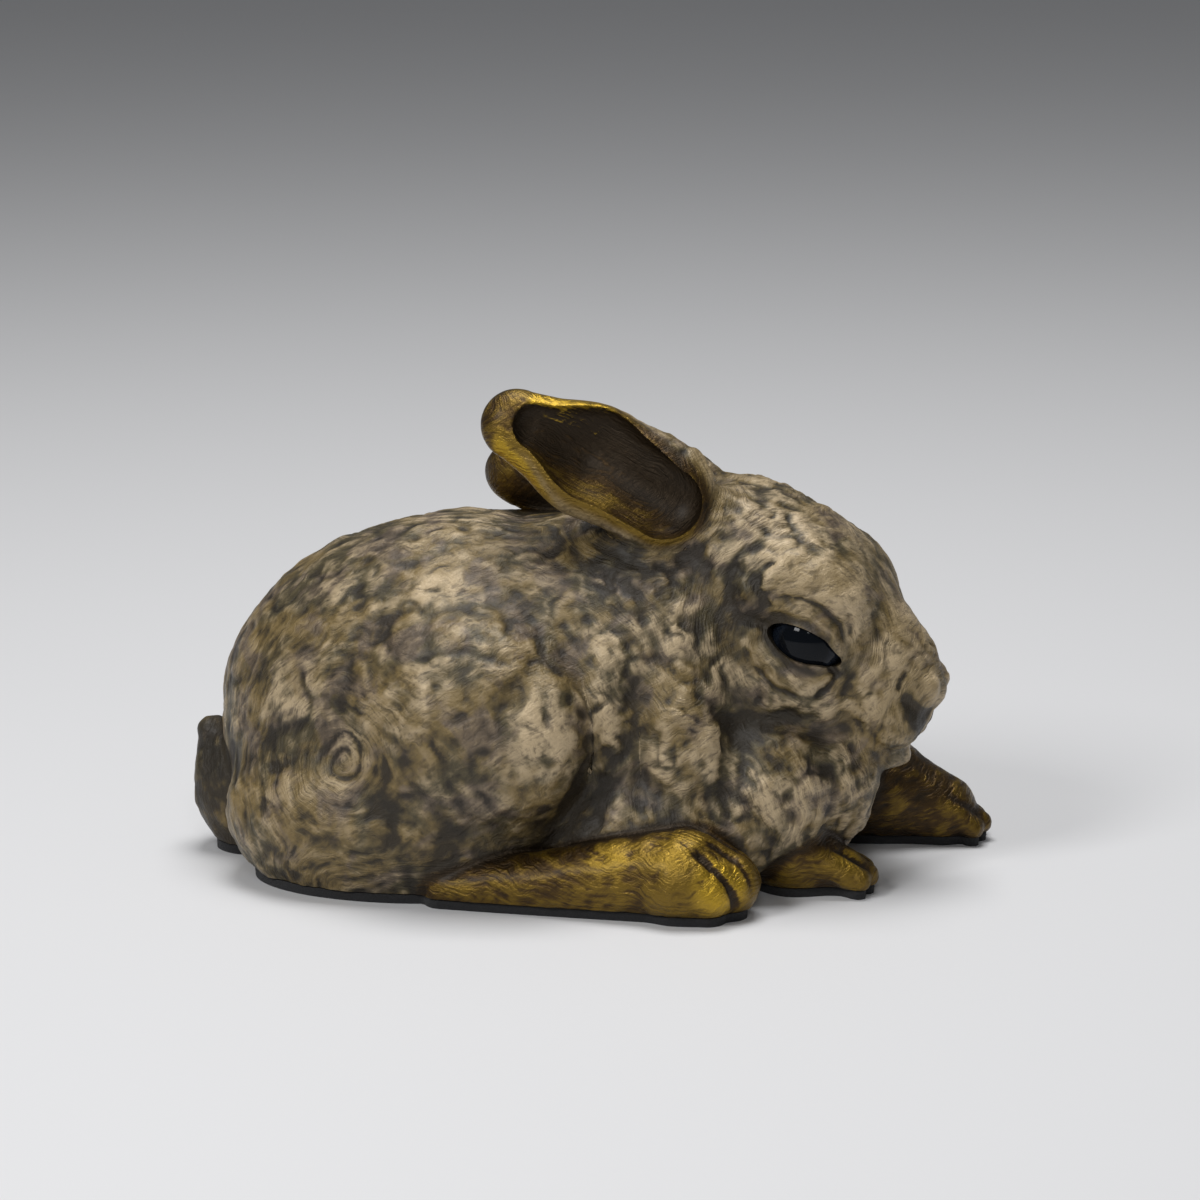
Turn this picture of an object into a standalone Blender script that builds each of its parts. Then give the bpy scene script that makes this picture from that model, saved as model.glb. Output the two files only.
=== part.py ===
"""Bronze rabbit sculpture: a crouching young rabbit with one ear lifted.

The figure is cast hollow in pieces, which are let into the body, pinned and welded. It has glass
eyes and stands on one sheet of felt. Sizes are in millimetres and are turned into metres where a
mesh is made. +X runs from the tail to the nose, +Y is the rabbit's left side, +Z is up, and the
felt lies on z = 0.

The forms are masses of clay: eggs and limbs that blend into each other. A blank of overlapping
primitives is remeshed, and its vertices are then settled on the blended surface.
"""
import math

import bmesh
import bpy
import numpy as np
from mathutils import Matrix, Vector

MM = 0.001

# How the sculpture is put together
CASTING_WALL = 4.5          # bronze left between the core and the skin
SEAT_DEPTH = 1.5            # how deep a welded-on piece is let into the body
GAP = 0.3                   # between pieces that touch
PIN_DIAMETER = 4.0
PIN_LENGTH = 13.0
EAR_PIN_DIAMETER = 3.0
EAR_PIN_LENGTH = 10.0
FELT_THICKNESS = 2.0
FELT_INSET = 0.6            # the felt stops this far inside the bronze's edge

# Torso
TORSO_LENGTH = 117.0
TORSO_WIDTH = 82.0
BACK_HEIGHT = 79.5
TORSO_MIDDLE = -26.0        # x of the torso's middle
TORSO_AXIS_HEIGHT = 33.5
SHOULDER_HEIGHT = 82.5
SHOULDER_WIDTH = 66.0
CHEST_WIDTH = 54.0
CHEST_FRONT = 64.0          # x of the chest's foremost point

# Legs
THIGH_LENGTH = 60.0
THIGH_HEIGHT = 56.0
THIGH_BULGE = 9.0           # how far the thighs stand out past the torso
HIND_FOOT_SPREAD = 43.0     # y of the hind feet's middle lines
HIND_FOOT_LENGTH = 76.0
HIND_TOES_AHEAD = 10.0      # of the torso's front end
HIND_FOOT_HEIGHT = 19.5
PAW_SPREAD_RIGHT = 20.5     # y of the forepaws' middle lines
PAW_SPREAD_LEFT = 25.0
PAW_TIP_RIGHT = 67.0        # x of the forepaws' tips
PAW_TIP_LEFT = 90.0
PAW_WIDTH = 14.0

# Head
HEAD_MIDDLE = (48.0, -3.0, 59.0)
HEAD_PITCH = 25.0           # nose down, degrees
HEAD_YAW = -11.0            # turned to the rabbit's right, degrees
HEAD_WIDTH = 45.0
HEAD_HEIGHT = 48.0
SNOUT_WIDTH = 33.0
NOSE_REACH = 36.0           # from the head's middle to the nose tip
EYE_SPREAD = 14.0           # from the head's middle plane to an eyeball's middle
EYE_RADIUS = 8.5
EYE_OPENING_LENGTH = 16.5
EYE_OPENING_HEIGHT = 8.2
LID_THICKNESS = 1.1

# Ears, each along its own line from root to tip
EAR_LENGTH = 56.0
EAR_ROOT_WIDTH = 26.0
EAR_TIP_WIDTH = 16.0
EAR_FLATNESS = 0.62         # thickness over width
EAR_RIM = 2.0
EAR_CUP_LIFT = 4.5
EAR_LIFT_RIGHT = 25.0       # degrees above level
EAR_LIFT_LEFT = 7.0
EAR_FACING = 21.0           # degrees that an ear's opening looks up

# Tail
TAIL_HEIGHT = 31.0
TAIL_STANDS_OUT = 7.5       # past the rump
TAIL_REACH = TORSO_MIDDLE - TORSO_LENGTH / 2 - TAIL_STANDS_OUT
TAIL_WIDTH = 21.0

# Fineness of the facets
BODY_VOXEL = 1.7
PIECE_VOXEL = 1.1
BODY_FACETS = 3600
CORE_FACETS = 500
EAR_FACETS = 700
FOOT_FACETS = 460
EYE_SEGMENTS = 20
PIN_SEGMENTS = 16

FLOOR = FELT_THICKNESS + GAP    # the bronze's flat underside
RIGHT, LEFT = -1, 1
SIDE_NAMES = {RIGHT: "right", LEFT: "left"}


# Clay: distances are negative inside, points are rows of an array

def turned(pitch=0.0, yaw=0.0):
    """Axes (forward, left, up) of a mass with its nose down by pitch and to the left by yaw."""
    p, y = math.radians(pitch), math.radians(yaw)
    down = np.array([[math.cos(p), 0, math.sin(p)], [0, 1, 0], [-math.sin(p), 0, math.cos(p)]])
    aside = np.array([[math.cos(y), -math.sin(y), 0], [math.sin(y), math.cos(y), 0], [0, 0, 1]])
    return aside @ down


def blended(a, b, width):
    """Union of two distances, with a fillet of about this width."""
    share = np.clip(0.5 + 0.5 * (b - a) / width, 0.0, 1.0)
    return b + (a - b) * share - width * share * (1.0 - share)


class Egg:
    """An ellipsoid; a hollow one is taken away from what it joins."""

    def __init__(self, middle, radii, axes=None, blend=3.0, hollow=False):
        self.middle = np.array(middle, float)
        self.radii = np.array(radii, float)
        self.axes = np.eye(3) if axes is None else axes
        self.blend = blend
        self.hollow = hollow

    def distance(self, points):
        q = (points - self.middle) @ self.axes
        near = np.sqrt(((q / self.radii) ** 2).sum(1))
        slope = np.sqrt(((q / self.radii ** 2) ** 2).sum(1)) + 1e-9
        return near * (near - 1.0) / slope

    def add_blank(self, bm, place):
        add_ball(bm, place @ frame(self.middle, self.axes), self.radii)


class Limb:
    """A round-ended taper between two points; flat squeezes its third axis."""

    def __init__(self, start, end, start_radius, end_radius, flat=1.0, blend=3.0, hollow=False):
        self.start = np.array(start, float)
        self.end = np.array(end, float)
        self.start_radius = start_radius
        self.end_radius = end_radius
        self.flat = flat
        self.blend = blend
        self.hollow = hollow

    def distance(self, points):
        stretch = np.array([1.0, 1.0, 1.0 / self.flat])
        start, end, q = self.start * stretch, self.end * stretch, points * stretch
        run = end - start
        along = np.clip(((q - start) @ run) / (run @ run), 0.0, 1.0)
        radius = self.start_radius + (self.end_radius - self.start_radius) * along
        off = np.linalg.norm(q - start - along[:, None] * run, axis=1)
        return (off - radius) * self.flat

    def add_blank(self, bm, place):
        length = np.linalg.norm(self.end - self.start)
        steps = max(2, math.ceil(2.0 * length / min(self.start_radius, self.end_radius)))
        for i in range(steps + 1):
            middle = self.start + (self.end - self.start) * i / steps
            radius = self.start_radius + (self.end_radius - self.start_radius) * i / steps
            add_ball(bm, place @ frame(middle, np.eye(3)), (radius, radius, radius * self.flat))


class Clay:
    """Masses put together in order, in a frame of their own."""

    def __init__(self, masses, middle=(0, 0, 0), axes=None, blend=3.0, hollow=False):
        self.masses = masses
        self.middle = np.array(middle, float)
        self.axes = np.eye(3) if axes is None else axes
        self.blend = blend
        self.hollow = hollow

    def distance(self, points):
        q = (points - self.middle) @ self.axes
        total = self.masses[0].distance(q)
        for mass in self.masses[1:]:
            part = mass.distance(q)
            if mass.hollow:
                total = -blended(-total, part, mass.blend)
            else:
                total = blended(total, part, mass.blend)
        return total

    def slope(self, points, step=0.05):
        sides = [self.distance(points + step * axis) - self.distance(points - step * axis)
                 for axis in np.eye(3)]
        return np.stack(sides, axis=1) / (2.0 * step)

    def add_blank(self, bm, place=None):
        place = (place or Matrix.Identity(4)) @ frame(self.middle, self.axes)
        for mass in self.masses:
            if not mass.hollow:
                mass.add_blank(bm, place)

    def deep_hollows(self):
        """Its hollows that are clays themselves, such as an ear's cup, in world millimetres."""
        return [Clay(mass.masses, self.point(mass.middle), self.axes @ mass.axes)
                for mass in self.masses if mass.hollow and isinstance(mass, Clay)]

    def point(self, local):
        """A point of the clay's own frame in world millimetres."""
        return self.middle + self.axes @ np.array(local, float)


def frame(middle, axes):
    """Matrix whose columns are the axes, at the middle point."""
    matrix = Matrix(axes.tolist()).to_4x4()
    matrix.translation = Vector(middle)
    return matrix


def add_ball(bm, place, radii):
    """One squeezed ball of a blank, in millimetres."""
    matrix = place @ Matrix.Diagonal((*radii, 1.0))
    bmesh.ops.create_icosphere(bm, subdivisions=3, radius=1.0, matrix=matrix)


# The animal's masses

def torso_masses():
    half_length, half_width = TORSO_LENGTH / 2, TORSO_WIDTH / 2
    masses = [
        Egg((TORSO_MIDDLE, 0, TORSO_AXIS_HEIGHT),
            (half_length, half_width, BACK_HEIGHT - TORSO_AXIS_HEIGHT)),
        Egg((TORSO_MIDDLE + 38, 0, SHOULDER_HEIGHT - 38.5),
            (34, SHOULDER_WIDTH / 2, 38.5), blend=10),
        Egg((CHEST_FRONT - 25, 0, 24), (25, CHEST_WIDTH / 2, 30), blend=8),
        Egg((TORSO_MIDDLE + 40, 0, 18), (38, CHEST_WIDTH / 2 - 3, 21), blend=5),
        Egg((TORSO_MIDDLE - half_length + 28, 0, 15), (21, 30, 21), blend=8),
    ]
    for side in (RIGHT, LEFT):
        masses += leg_masses(side, half_width)
    return masses


def leg_masses(side, half_width):
    """Haunch, thigh, knee, shoulder and elbow on one side of the torso."""
    thigh_middle = half_width + THIGH_BULGE - 22.5
    return [
        Egg((TORSO_MIDDLE - 13, side * (half_width - 21), 15), (41, 26, 25), blend=5),
        Egg((TORSO_MIDDLE + 1, side * thigh_middle, 37),
            (THIGH_LENGTH / 2, 22.5, THIGH_HEIGHT / 2), turned(pitch=-6, yaw=side * 9), blend=3.5),
        Egg((TORSO_MIDDLE + 19, side * (thigh_middle + 11), 36),
            (10.5, 10.5, 15), turned(pitch=10), blend=4),
        Egg((CHEST_FRONT - 56, side * (CHEST_WIDTH / 2 + 2.5), 38),
            (6.5, 7.5, 20), turned(pitch=-4), blend=4),
        Egg((CHEST_FRONT - 40, side * (CHEST_WIDTH / 2 - 0.5), 33),
            (10.5, 12, 20), turned(pitch=-8), blend=3),
        Egg((CHEST_FRONT - 23, side * (CHEST_WIDTH / 2 - 7), 22), (16, 15, 17), blend=3.5),
        Egg((CHEST_FRONT - 10.5, side * (CHEST_WIDTH / 2 - 16), 24), (12.5, 13, 16), blend=2.5),
        Egg((CHEST_FRONT - 46, side * (HIND_FOOT_SPREAD - 14), 13), (25, 12, 15), blend=4),
    ]


def head_clay():
    """The head, in a frame with its middle between the ears and eyes."""
    half_width, half_height = HEAD_WIDTH / 2, HEAD_HEIGHT / 2
    masses = [
        Egg((-9, 0, 0.5), (29, half_width, half_height - 1)),
        Egg((NOSE_REACH - 22.5, 0, -5.5), (22.5, SNOUT_WIDTH / 2 - 0.5, 18), blend=8),
    ]
    for side in (RIGHT, LEFT):
        masses += face_masses(side)
    masses += [
        Egg((NOSE_REACH - 9, 0, -18.5), (8.5, 7, 5), blend=2.5),
        Egg((NOSE_REACH - 4.5, 0, -1.5), (5, 5, 4.5), blend=2),
    ]
    for side in (RIGHT, LEFT):
        forward, aside, up = eye_middle(side)
        masses += [
            Egg((NOSE_REACH - 4, side * 4, 0.3), (3.6, 3, 3.4), blend=1),
            Egg((forward - 0.5, aside + side * 11, up + 1), (10, 5.5, 6), blend=4, hollow=True),
            Limb((forward - 8, aside + side * 4.8, up + 4.5),
                 (forward + 2.5, aside + side * 4.4, up + 7), 2.4, 1.8, blend=2.5),
            Limb((forward - 3, aside + side * 4.8, up - 8.2),
                 (forward + 6, aside + side * 4, up - 8), 2.6, 2.2, blend=2),
            Egg(eye_middle(side), (EYE_RADIUS + LID_THICKNESS,) * 3, blend=1.5),
        ]
    return Clay(masses, HEAD_MIDDLE, turned(HEAD_PITCH, HEAD_YAW), blend=3)


def face_masses(side):
    """Cheek, brow, ear root and upper lip on one side of the head."""
    return [
        Egg((2, side * 12, -9.5), (17, 11.5, 13), blend=5),
        Egg((1, side * 12.5, 10), (13.5, 9.5, 8.5), blend=6),
        Egg((-21, side * 9.5, 10.5), (13, 9, 9.5), blend=6),
        Egg((NOSE_REACH - 10, side * 5.5, -10), (10, 7.5, 8), blend=3),
    ]


def eye_middle(side):
    """Middle of an eyeball in the head's frame."""
    return (5.5, side * EYE_SPREAD, 0.3)


def ear_frame(side):
    """Root point and axes of an ear: along it, across it and out of its opening."""
    lift = math.radians(EAR_LIFT_RIGHT if side == RIGHT else EAR_LIFT_LEFT)
    facing = math.radians(EAR_FACING)
    along = np.array([-math.cos(lift), 0.0, math.sin(lift)])
    out = np.array([0.0, side * math.cos(facing), math.sin(facing)])
    out -= (out @ along) * along
    out /= np.linalg.norm(out)
    across = np.cross(out, along)
    offset = (-31, -11, 28.5) if side == RIGHT else (-31, 15, 23)
    root = np.array(HEAD_MIDDLE) + offset
    return root, np.stack([along, across, out], axis=1)


def ear_leaf():
    """The ear's spoon shape in its own frame: along it, down across it, out of its opening."""
    root, tip = EAR_ROOT_WIDTH / 2, EAR_TIP_WIDTH / 2
    reach = EAR_LENGTH - root - tip
    middle = (reach / 2, 0, 0)
    return [
        Limb((0, 0, 0), middle, root, root - 0.7, EAR_FLATNESS),
        Limb(middle, (reach, 0, 0), root - 0.7, tip, EAR_FLATNESS, blend=2),
    ]


def ear_cup(side):
    """What is carved out of the spoon: a bowl that leaves its lower edge broad."""
    root, tip = EAR_ROOT_WIDTH / 2 - EAR_RIM, EAR_TIP_WIDTH / 2 - EAR_RIM
    reach = EAR_LENGTH - EAR_ROOT_WIDTH / 2 - EAR_TIP_WIDTH / 2
    start = (-1.5, -side * 1.5, EAR_CUP_LIFT)
    middle = (reach / 2, side * 1.2, EAR_CUP_LIFT)
    end = (reach - 4.5, side * 1.2, EAR_CUP_LIFT)
    return [
        Limb(start, middle, root - 2.5, root - 1, EAR_FLATNESS),
        Limb(middle, end, root - 1, tip - 0.5, EAR_FLATNESS, blend=2),
    ]


def ear_clay(side):
    """An ear with its cup carved out."""
    root, axes = ear_frame(side)
    cup = Clay(ear_cup(side), blend=1.5, hollow=True)
    return Clay(ear_leaf() + [cup], root, axes, blend=2)


def ear_cup_clay(side):
    """The cup alone, which also clears the head beside the ear's root."""
    root, axes = ear_frame(side)
    return Clay(ear_cup(side), root, axes, blend=1.5, hollow=True)


def hind_foot_clay(side):
    """A hind foot lying flat, with a thick outer toe and a higher inner one."""
    y = side * HIND_FOOT_SPREAD
    tip = TORSO_MIDDLE + TORSO_LENGTH / 2 + HIND_TOES_AHEAD
    heel = tip - HIND_FOOT_LENGTH
    ball = tip - 17.5
    height = HIND_FOOT_HEIGHT / 2
    masses = [
        Limb((heel + 6, y - side * 2.5, 3.5), (ball, y, height - 0.5), 5, height + 0.5),
        Limb((ball, y + side * 3.6, height - 1.5), (tip - 11.5, y + side * 4.2, 7.2),
             8, 7, blend=3),
        Limb((ball + 3, y - side * 2, height), (tip - 7.5, y - side * 0.8, 7.5),
             9.4, 7.5, blend=1.2),
    ]
    return Clay(masses)


def forepaw_clay(side):
    """A forearm and paw lying flat, with its toes side by side."""
    y = side * (PAW_SPREAD_RIGHT if side == RIGHT else PAW_SPREAD_LEFT)
    tip = PAW_TIP_RIGHT if side == RIGHT else PAW_TIP_LEFT
    half = PAW_WIDTH / 2
    thicker = 0.0 if side == RIGHT else 4.0
    elbow = (CHEST_FRONT - 26, side * (CHEST_WIDTH / 2 - 9), 12)
    wrist = (tip - half - 12 - 2.25 * thicker, y, 8 + 1.1 * thicker)
    ball = (tip - half - 1 - thicker, y, 4.5 + 0.6 * thicker)
    masses = [
        Limb(elbow, wrist, 10.5, half + 1 + thicker),
        Limb(wrist, ball, half + 1 + thicker, 4.8 + 0.9 * thicker, blend=4),
    ]
    for row, back in ((-1, 1.5), (1, 1.5), (0, 0)):
        knuckle = (tip - half - 8 - 0.3 * thicker, y + row * half * 0.5, 8.5 + 0.8 * thicker)
        toe = (tip - 3 - back, y + row * half * 0.65, 4)
        masses.append(Limb(knuckle, toe, half * 0.62, 3, blend=0.8))
    return Clay(masses)


def tail_clay():
    """The tail, curled up against the rump."""
    middle = TAIL_REACH + 11
    return Clay([
        Limb((middle + 4, 0, 4), (TAIL_REACH + 5, 0, TAIL_HEIGHT - 4), 9, 4),
        Egg((middle, 0, TAIL_HEIGHT / 2 - 2), (10.5, TAIL_WIDTH / 2, TAIL_HEIGHT / 2),
            turned(pitch=-12), blend=3),
    ])


def body_clay():
    """Torso and head together, without the pieces that are welded on."""
    return Clay(torso_masses() + [head_clay(), ear_cup_clay(RIGHT), ear_cup_clay(LEFT)])


def core_clay():
    """The core that leaves the casting hollow; it runs out through the underside."""
    wall = CASTING_WALL
    head = head_clay()
    masses = [
        Egg((TORSO_MIDDLE, 0, TORSO_AXIS_HEIGHT),
            (TORSO_LENGTH / 2 - wall, TORSO_WIDTH / 2 - wall,
             BACK_HEIGHT - TORSO_AXIS_HEIGHT - wall)),
        Egg((TORSO_MIDDLE + 38, 0, SHOULDER_HEIGHT - 38.5),
            (34 - wall, SHOULDER_WIDTH / 2 - wall, 38.5 - wall), blend=4),
        Egg(head.point((-13, 0, 0)), (16, HEAD_WIDTH / 2 - wall - 3, HEAD_HEIGHT / 2 - wall - 3),
            head.axes, blend=4),
    ]
    return Clay(masses)


# Meshes

def new_object(name, mesh):
    obj = bpy.data.objects.new(name, mesh)
    bpy.context.scene.collection.objects.link(obj)
    return obj


def object_from(name, bm):
    """An object of a mesh that was drawn in millimetres."""
    bmesh.ops.scale(bm, vec=(MM, MM, MM), verts=bm.verts)
    mesh = bpy.data.meshes.new(name)
    bm.to_mesh(mesh)
    bm.free()
    return new_object(name, mesh)


def evaluated(obj):
    """Replace an object's mesh by what its modifiers make of it."""
    depsgraph = bpy.context.evaluated_depsgraph_get()
    mesh = bpy.data.meshes.new_from_object(obj.evaluated_get(depsgraph))
    old = obj.data
    obj.modifiers.clear()
    obj.data = mesh
    bpy.data.meshes.remove(old)
    return obj


def discard(obj):
    mesh = obj.data
    bpy.data.objects.remove(obj)
    bpy.data.meshes.remove(mesh)


def blank_object(name, clay, voxel):
    """The overlapping primitives of a clay, remeshed into one skin."""
    bm = bmesh.new()
    clay.add_blank(bm)
    obj = object_from(name, bm)
    return remeshed(obj, voxel)


def remeshed(obj, voxel):
    remesh = obj.modifiers.new("remesh", "REMESH")
    remesh.mode = "VOXEL"
    remesh.voxel_size = voxel * MM
    smooth = obj.modifiers.new("smooth", "SMOOTH")
    smooth.factor = 0.5
    smooth.iterations = 4
    return evaluated(obj)


def clay_object(name, clay, voxel, facets, level=0.0):
    """Mesh a clay: blank, hollows, settle on its surface (or level outside it), thin out."""
    obj = blank_object(name, clay, voxel)
    for hollow in clay.deep_hollows():
        combine(obj, blank_object("hollow", hollow, voxel), "DIFFERENCE")
        remeshed(obj, voxel)
    settle(obj, clay, level)
    thin_out(obj, facets)
    return obj


def settle(obj, clay, level=0.0, rounds=6):
    """Move each vertex onto the surface that lies level millimetres outside the clay's."""
    mesh = obj.data
    flat = np.empty(3 * len(mesh.vertices))
    mesh.vertices.foreach_get("co", flat)
    points = flat.reshape(-1, 3) / MM
    for _ in range(rounds):
        off = clay.distance(points) - level
        slope = clay.slope(points)
        steep = np.maximum((slope ** 2).sum(1), 0.2)
        step = np.clip(off / steep, -2.0, 2.0)
        points = points - step[:, None] * slope
    mesh.vertices.foreach_set("co", (points * MM).ravel())
    mesh.update()


def thin_out(obj, facets):
    """Decimate an object to about this many triangles."""
    triangles = sum(len(face.vertices) - 2 for face in obj.data.polygons)
    decimate = obj.modifiers.new("thin", "DECIMATE")
    decimate.ratio = min(1.0, facets / triangles)
    decimate.use_collapse_triangulate = True
    evaluated(obj)


def cut_flat(obj, height=FLOOR):
    """Cut an object off flat below this height."""
    bm = bmesh.new()
    bm.from_mesh(obj.data)
    everything = bm.verts[:] + bm.edges[:] + bm.faces[:]
    cut = bmesh.ops.bisect_plane(bm, geom=everything, dist=1e-6, plane_co=(0, 0, height * MM),
                                 plane_no=(0, 0, -1), clear_outer=True)
    rim = [item for item in cut["geom_cut"] if isinstance(item, bmesh.types.BMEdge)]
    bmesh.ops.edgenet_fill(bm, edges=rim)
    bmesh.ops.recalc_face_normals(bm, faces=bm.faces[:])
    bm.to_mesh(obj.data)
    bm.free()
    return obj


def combine(obj, other, operation, keep=False):
    """Boolean with another object, which is then discarded unless it is kept."""
    boolean = obj.modifiers.new("boolean", "BOOLEAN")
    boolean.operation = operation
    boolean.object = other
    boolean.solver = "EXACT"
    evaluated(obj)
    if not keep:
        discard(other)
    return obj


def copy_of(obj, name):
    return new_object(name, obj.data.copy())


def rod(name, start, direction, before, after, diameter, segments=PIN_SEGMENTS):
    """A cylinder along a direction, from before its start point to after it."""
    direction = Vector(direction).normalized()
    bm = bmesh.new()
    middle = Vector(start) + direction * (after - before) / 2
    turn = direction.to_track_quat("Z", "Y").to_matrix().to_4x4()
    bmesh.ops.create_cone(bm, cap_ends=True, segments=segments, radius1=diameter / 2,
                          radius2=diameter / 2, depth=before + after,
                          matrix=Matrix.Translation(middle) @ turn)
    return object_from(name, bm)


def ball(name, middle, radii, axes, segments=EYE_SEGMENTS):
    """A squeezed ball with its poles on its second axis."""
    bm = bmesh.new()
    poles = Matrix.Rotation(math.radians(90), 4, "X")
    place = frame(middle, axes) @ Matrix.Diagonal((*radii, 1.0)) @ poles
    bmesh.ops.create_uvsphere(bm, u_segments=segments, v_segments=segments // 2, radius=1.0,
                              matrix=place)
    return object_from(name, bm)


def crossing(clay, start, direction, level):
    """Where a straight way from start meets the surface level millimetres outside the clay's."""
    point = np.array(start, float)
    direction = np.array(direction, float) / np.linalg.norm(direction)
    for _ in range(400):
        off = clay.distance(point[None, :])[0] - level
        if off < 0.01:
            break
        point = point + direction * max(0.02, 0.5 * off)
    return point


# Materials

def material(name, color, roughness, metallic):
    """A plain material with these values."""
    made = bpy.data.materials.new(name)
    made.use_nodes = True
    shader = made.node_tree.nodes["Principled BSDF"]
    shader.inputs["Base Color"].default_value = (*color, 1.0)
    shader.inputs["Roughness"].default_value = roughness
    shader.inputs["Metallic"].default_value = metallic
    made.diffuse_color = (*color, 1.0)
    return made


def finish(obj, color, roughness, metallic, sharp_angle=40.0):
    """Give a piece its material and smooth shading."""
    obj.data.materials.clear()
    obj.data.materials.append(material(obj.name + "_finish", color, roughness, metallic))
    obj.data.shade_smooth()
    obj.data.set_sharp_from_angle(angle=math.radians(sharp_angle))
    return obj


# Pieces

class Seats:
    """The body's skin moved inwards, which shapes every joint between body and piece."""

    def __init__(self, clay, skin):
        self.clay = clay
        self.floor = self.moved_in(skin, "seat_floor", SEAT_DEPTH)
        self.former = self.moved_in(skin, "seat_former", SEAT_DEPTH - GAP)

    def moved_in(self, skin, name, depth):
        obj = copy_of(skin, name)
        settle(obj, self.clay, -depth)
        return obj

    def remove(self):
        discard(self.floor)
        discard(self.former)


def let_in(body, piece, piece_clay, seats):
    """Sink a seat for a piece into the body, a gap wider than the piece all round."""
    cutter = copy_of(piece, "seat_cutter")
    settle(cutter, piece_clay, GAP)
    combine(cutter, seats.floor, "DIFFERENCE", keep=True)
    combine(body, cutter, "DIFFERENCE")


def welded_piece(name, piece_clay, facets, seats, body):
    """A piece that is cut to its seat, and its seat in the body."""
    obj = clay_object(name, piece_clay, PIECE_VOXEL, facets)
    let_in(body, obj, piece_clay, seats)
    combine(obj, seats.former, "DIFFERENCE", keep=True)
    keep_largest(obj)
    return cut_flat(obj)


def keep_largest(obj):
    """Drop the loose scraps that a cut may leave."""
    bm = bmesh.new()
    bm.from_mesh(obj.data)
    left = set(bm.verts)
    shells = []
    while left:
        front = [left.pop()]
        shell = set(front)
        while front:
            for edge in front.pop().link_edges:
                for vert in edge.verts:
                    if vert not in shell:
                        shell.add(vert)
                        left.discard(vert)
                        front.append(vert)
        shells.append(shell)
    shells.sort(key=len)
    scraps = [vert for shell in shells[:-1] for vert in shell]
    bmesh.ops.delete(bm, geom=scraps, context="VERTS")
    bm.to_mesh(obj.data)
    bm.free()
    return obj


def pin_joint(name, body, piece, clay, start, direction, diameter, length):
    """A dowel pin through the joint between a piece and the body, with its two holes."""
    seat = crossing(clay, start, direction, -SEAT_DEPTH)
    half = length / 2
    hole_size = diameter + 2 * GAP
    for obj in (body, piece):
        hole = rod(name + "_hole", seat, direction, half + GAP, half + GAP, hole_size)
        combine(obj, hole, "DIFFERENCE")
    pin = rod(name, seat, direction, half, half, diameter)
    return finish(pin, (0.42, 0.30, 0.15), 0.45, 1.0)


def make_body(clay):
    """The skin of the torso and head, before anything is cut into it."""
    return clay_object("body_casting", clay, BODY_VOXEL, BODY_FACETS)


def hollow_out(body):
    """Cut the body flat underneath and take out the core."""
    cut_flat(body)
    core = clay_object("core", core_clay(), 2.0 * BODY_VOXEL, CORE_FACETS)
    combine(body, core, "DIFFERENCE")


def make_eye(side, body):
    """A glass eye behind its lids, and its socket."""
    head = head_clay()
    middle = head.point(eye_middle(side))
    socket = ball("socket", middle, (EYE_RADIUS + GAP,) * 3, head.axes)
    tilted = head.axes @ turned(pitch=4)
    forward, aside, up = eye_middle(side)
    opening_middle = head.point((forward + 0.3, aside + side * (EYE_RADIUS + 1), up))
    opening = ball("opening", opening_middle,
                   (EYE_OPENING_LENGTH / 2, 5.0, EYE_OPENING_HEIGHT / 2), tilted)
    combine(socket, opening, "UNION")
    combine(body, socket, "DIFFERENCE")
    eye = ball(SIDE_NAMES[side] + "_eye", middle, (EYE_RADIUS,) * 3, head.axes)
    return finish(eye, (0.006, 0.007, 0.010), 0.06, 0.0)


def make_ear(side, seats, body):
    """An ear, its seat on the head and its pin."""
    name = SIDE_NAMES[side] + "_ear"
    ear = welded_piece(name, ear_clay(side), EAR_FACETS, seats, body)
    finish(ear, (0.20, 0.13, 0.05), 0.38, 1.0)
    root, axes = ear_frame(side)
    start = root + axes @ np.array([4.0, 0.0, -4.0])
    pin = pin_joint(name + "_pin", body, ear, seats.clay, start, -axes[:, 0],
                    EAR_PIN_DIAMETER, EAR_PIN_LENGTH)
    return [ear, pin]


def make_hind_foot(side, seats, body):
    """A hind foot, its seat under the thigh and its pin."""
    name = SIDE_NAMES[side] + "_hind_foot"
    foot = welded_piece(name, hind_foot_clay(side), FOOT_FACETS, seats, body)
    finish(foot, (0.34, 0.24, 0.09), 0.36, 1.0)
    start = (TORSO_MIDDLE + 16, side * (HIND_FOOT_SPREAD + 2), 8.0)
    pin = pin_joint(name + "_pin", body, foot, seats.clay, start, (0, -side, 0.1),
                    PIN_DIAMETER, PIN_LENGTH)
    return [foot, pin]


def make_forepaw(side, seats, body):
    """A forepaw, its seat under the chest and its pin."""
    name = SIDE_NAMES[side] + "_forepaw"
    paw = welded_piece(name, forepaw_clay(side), FOOT_FACETS, seats, body)
    finish(paw, (0.20, 0.13, 0.05), 0.36, 1.0)
    spread = PAW_SPREAD_RIGHT if side == RIGHT else PAW_SPREAD_LEFT
    start = (CHEST_FRONT + (-6 if side == RIGHT else 6), side * spread, 8.0)
    pin = pin_joint(name + "_pin", body, paw, seats.clay, start, (-1, -0.2 * side, 0.45),
                    PIN_DIAMETER, PIN_LENGTH)
    return [paw, pin]


def make_tail(seats, body):
    """The tail, its seat on the rump and its pin."""
    tail = welded_piece("tail", tail_clay(), FOOT_FACETS, seats, body)
    finish(tail, (0.10, 0.085, 0.06), 0.42, 1.0)
    start = (TAIL_REACH + 8, 0, TAIL_HEIGHT / 2 - 1)
    pin = pin_joint("tail_pin", body, tail, seats.clay, start, (1, 0, 0.1),
                    PIN_DIAMETER, PIN_LENGTH)
    return [tail, pin]


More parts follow.
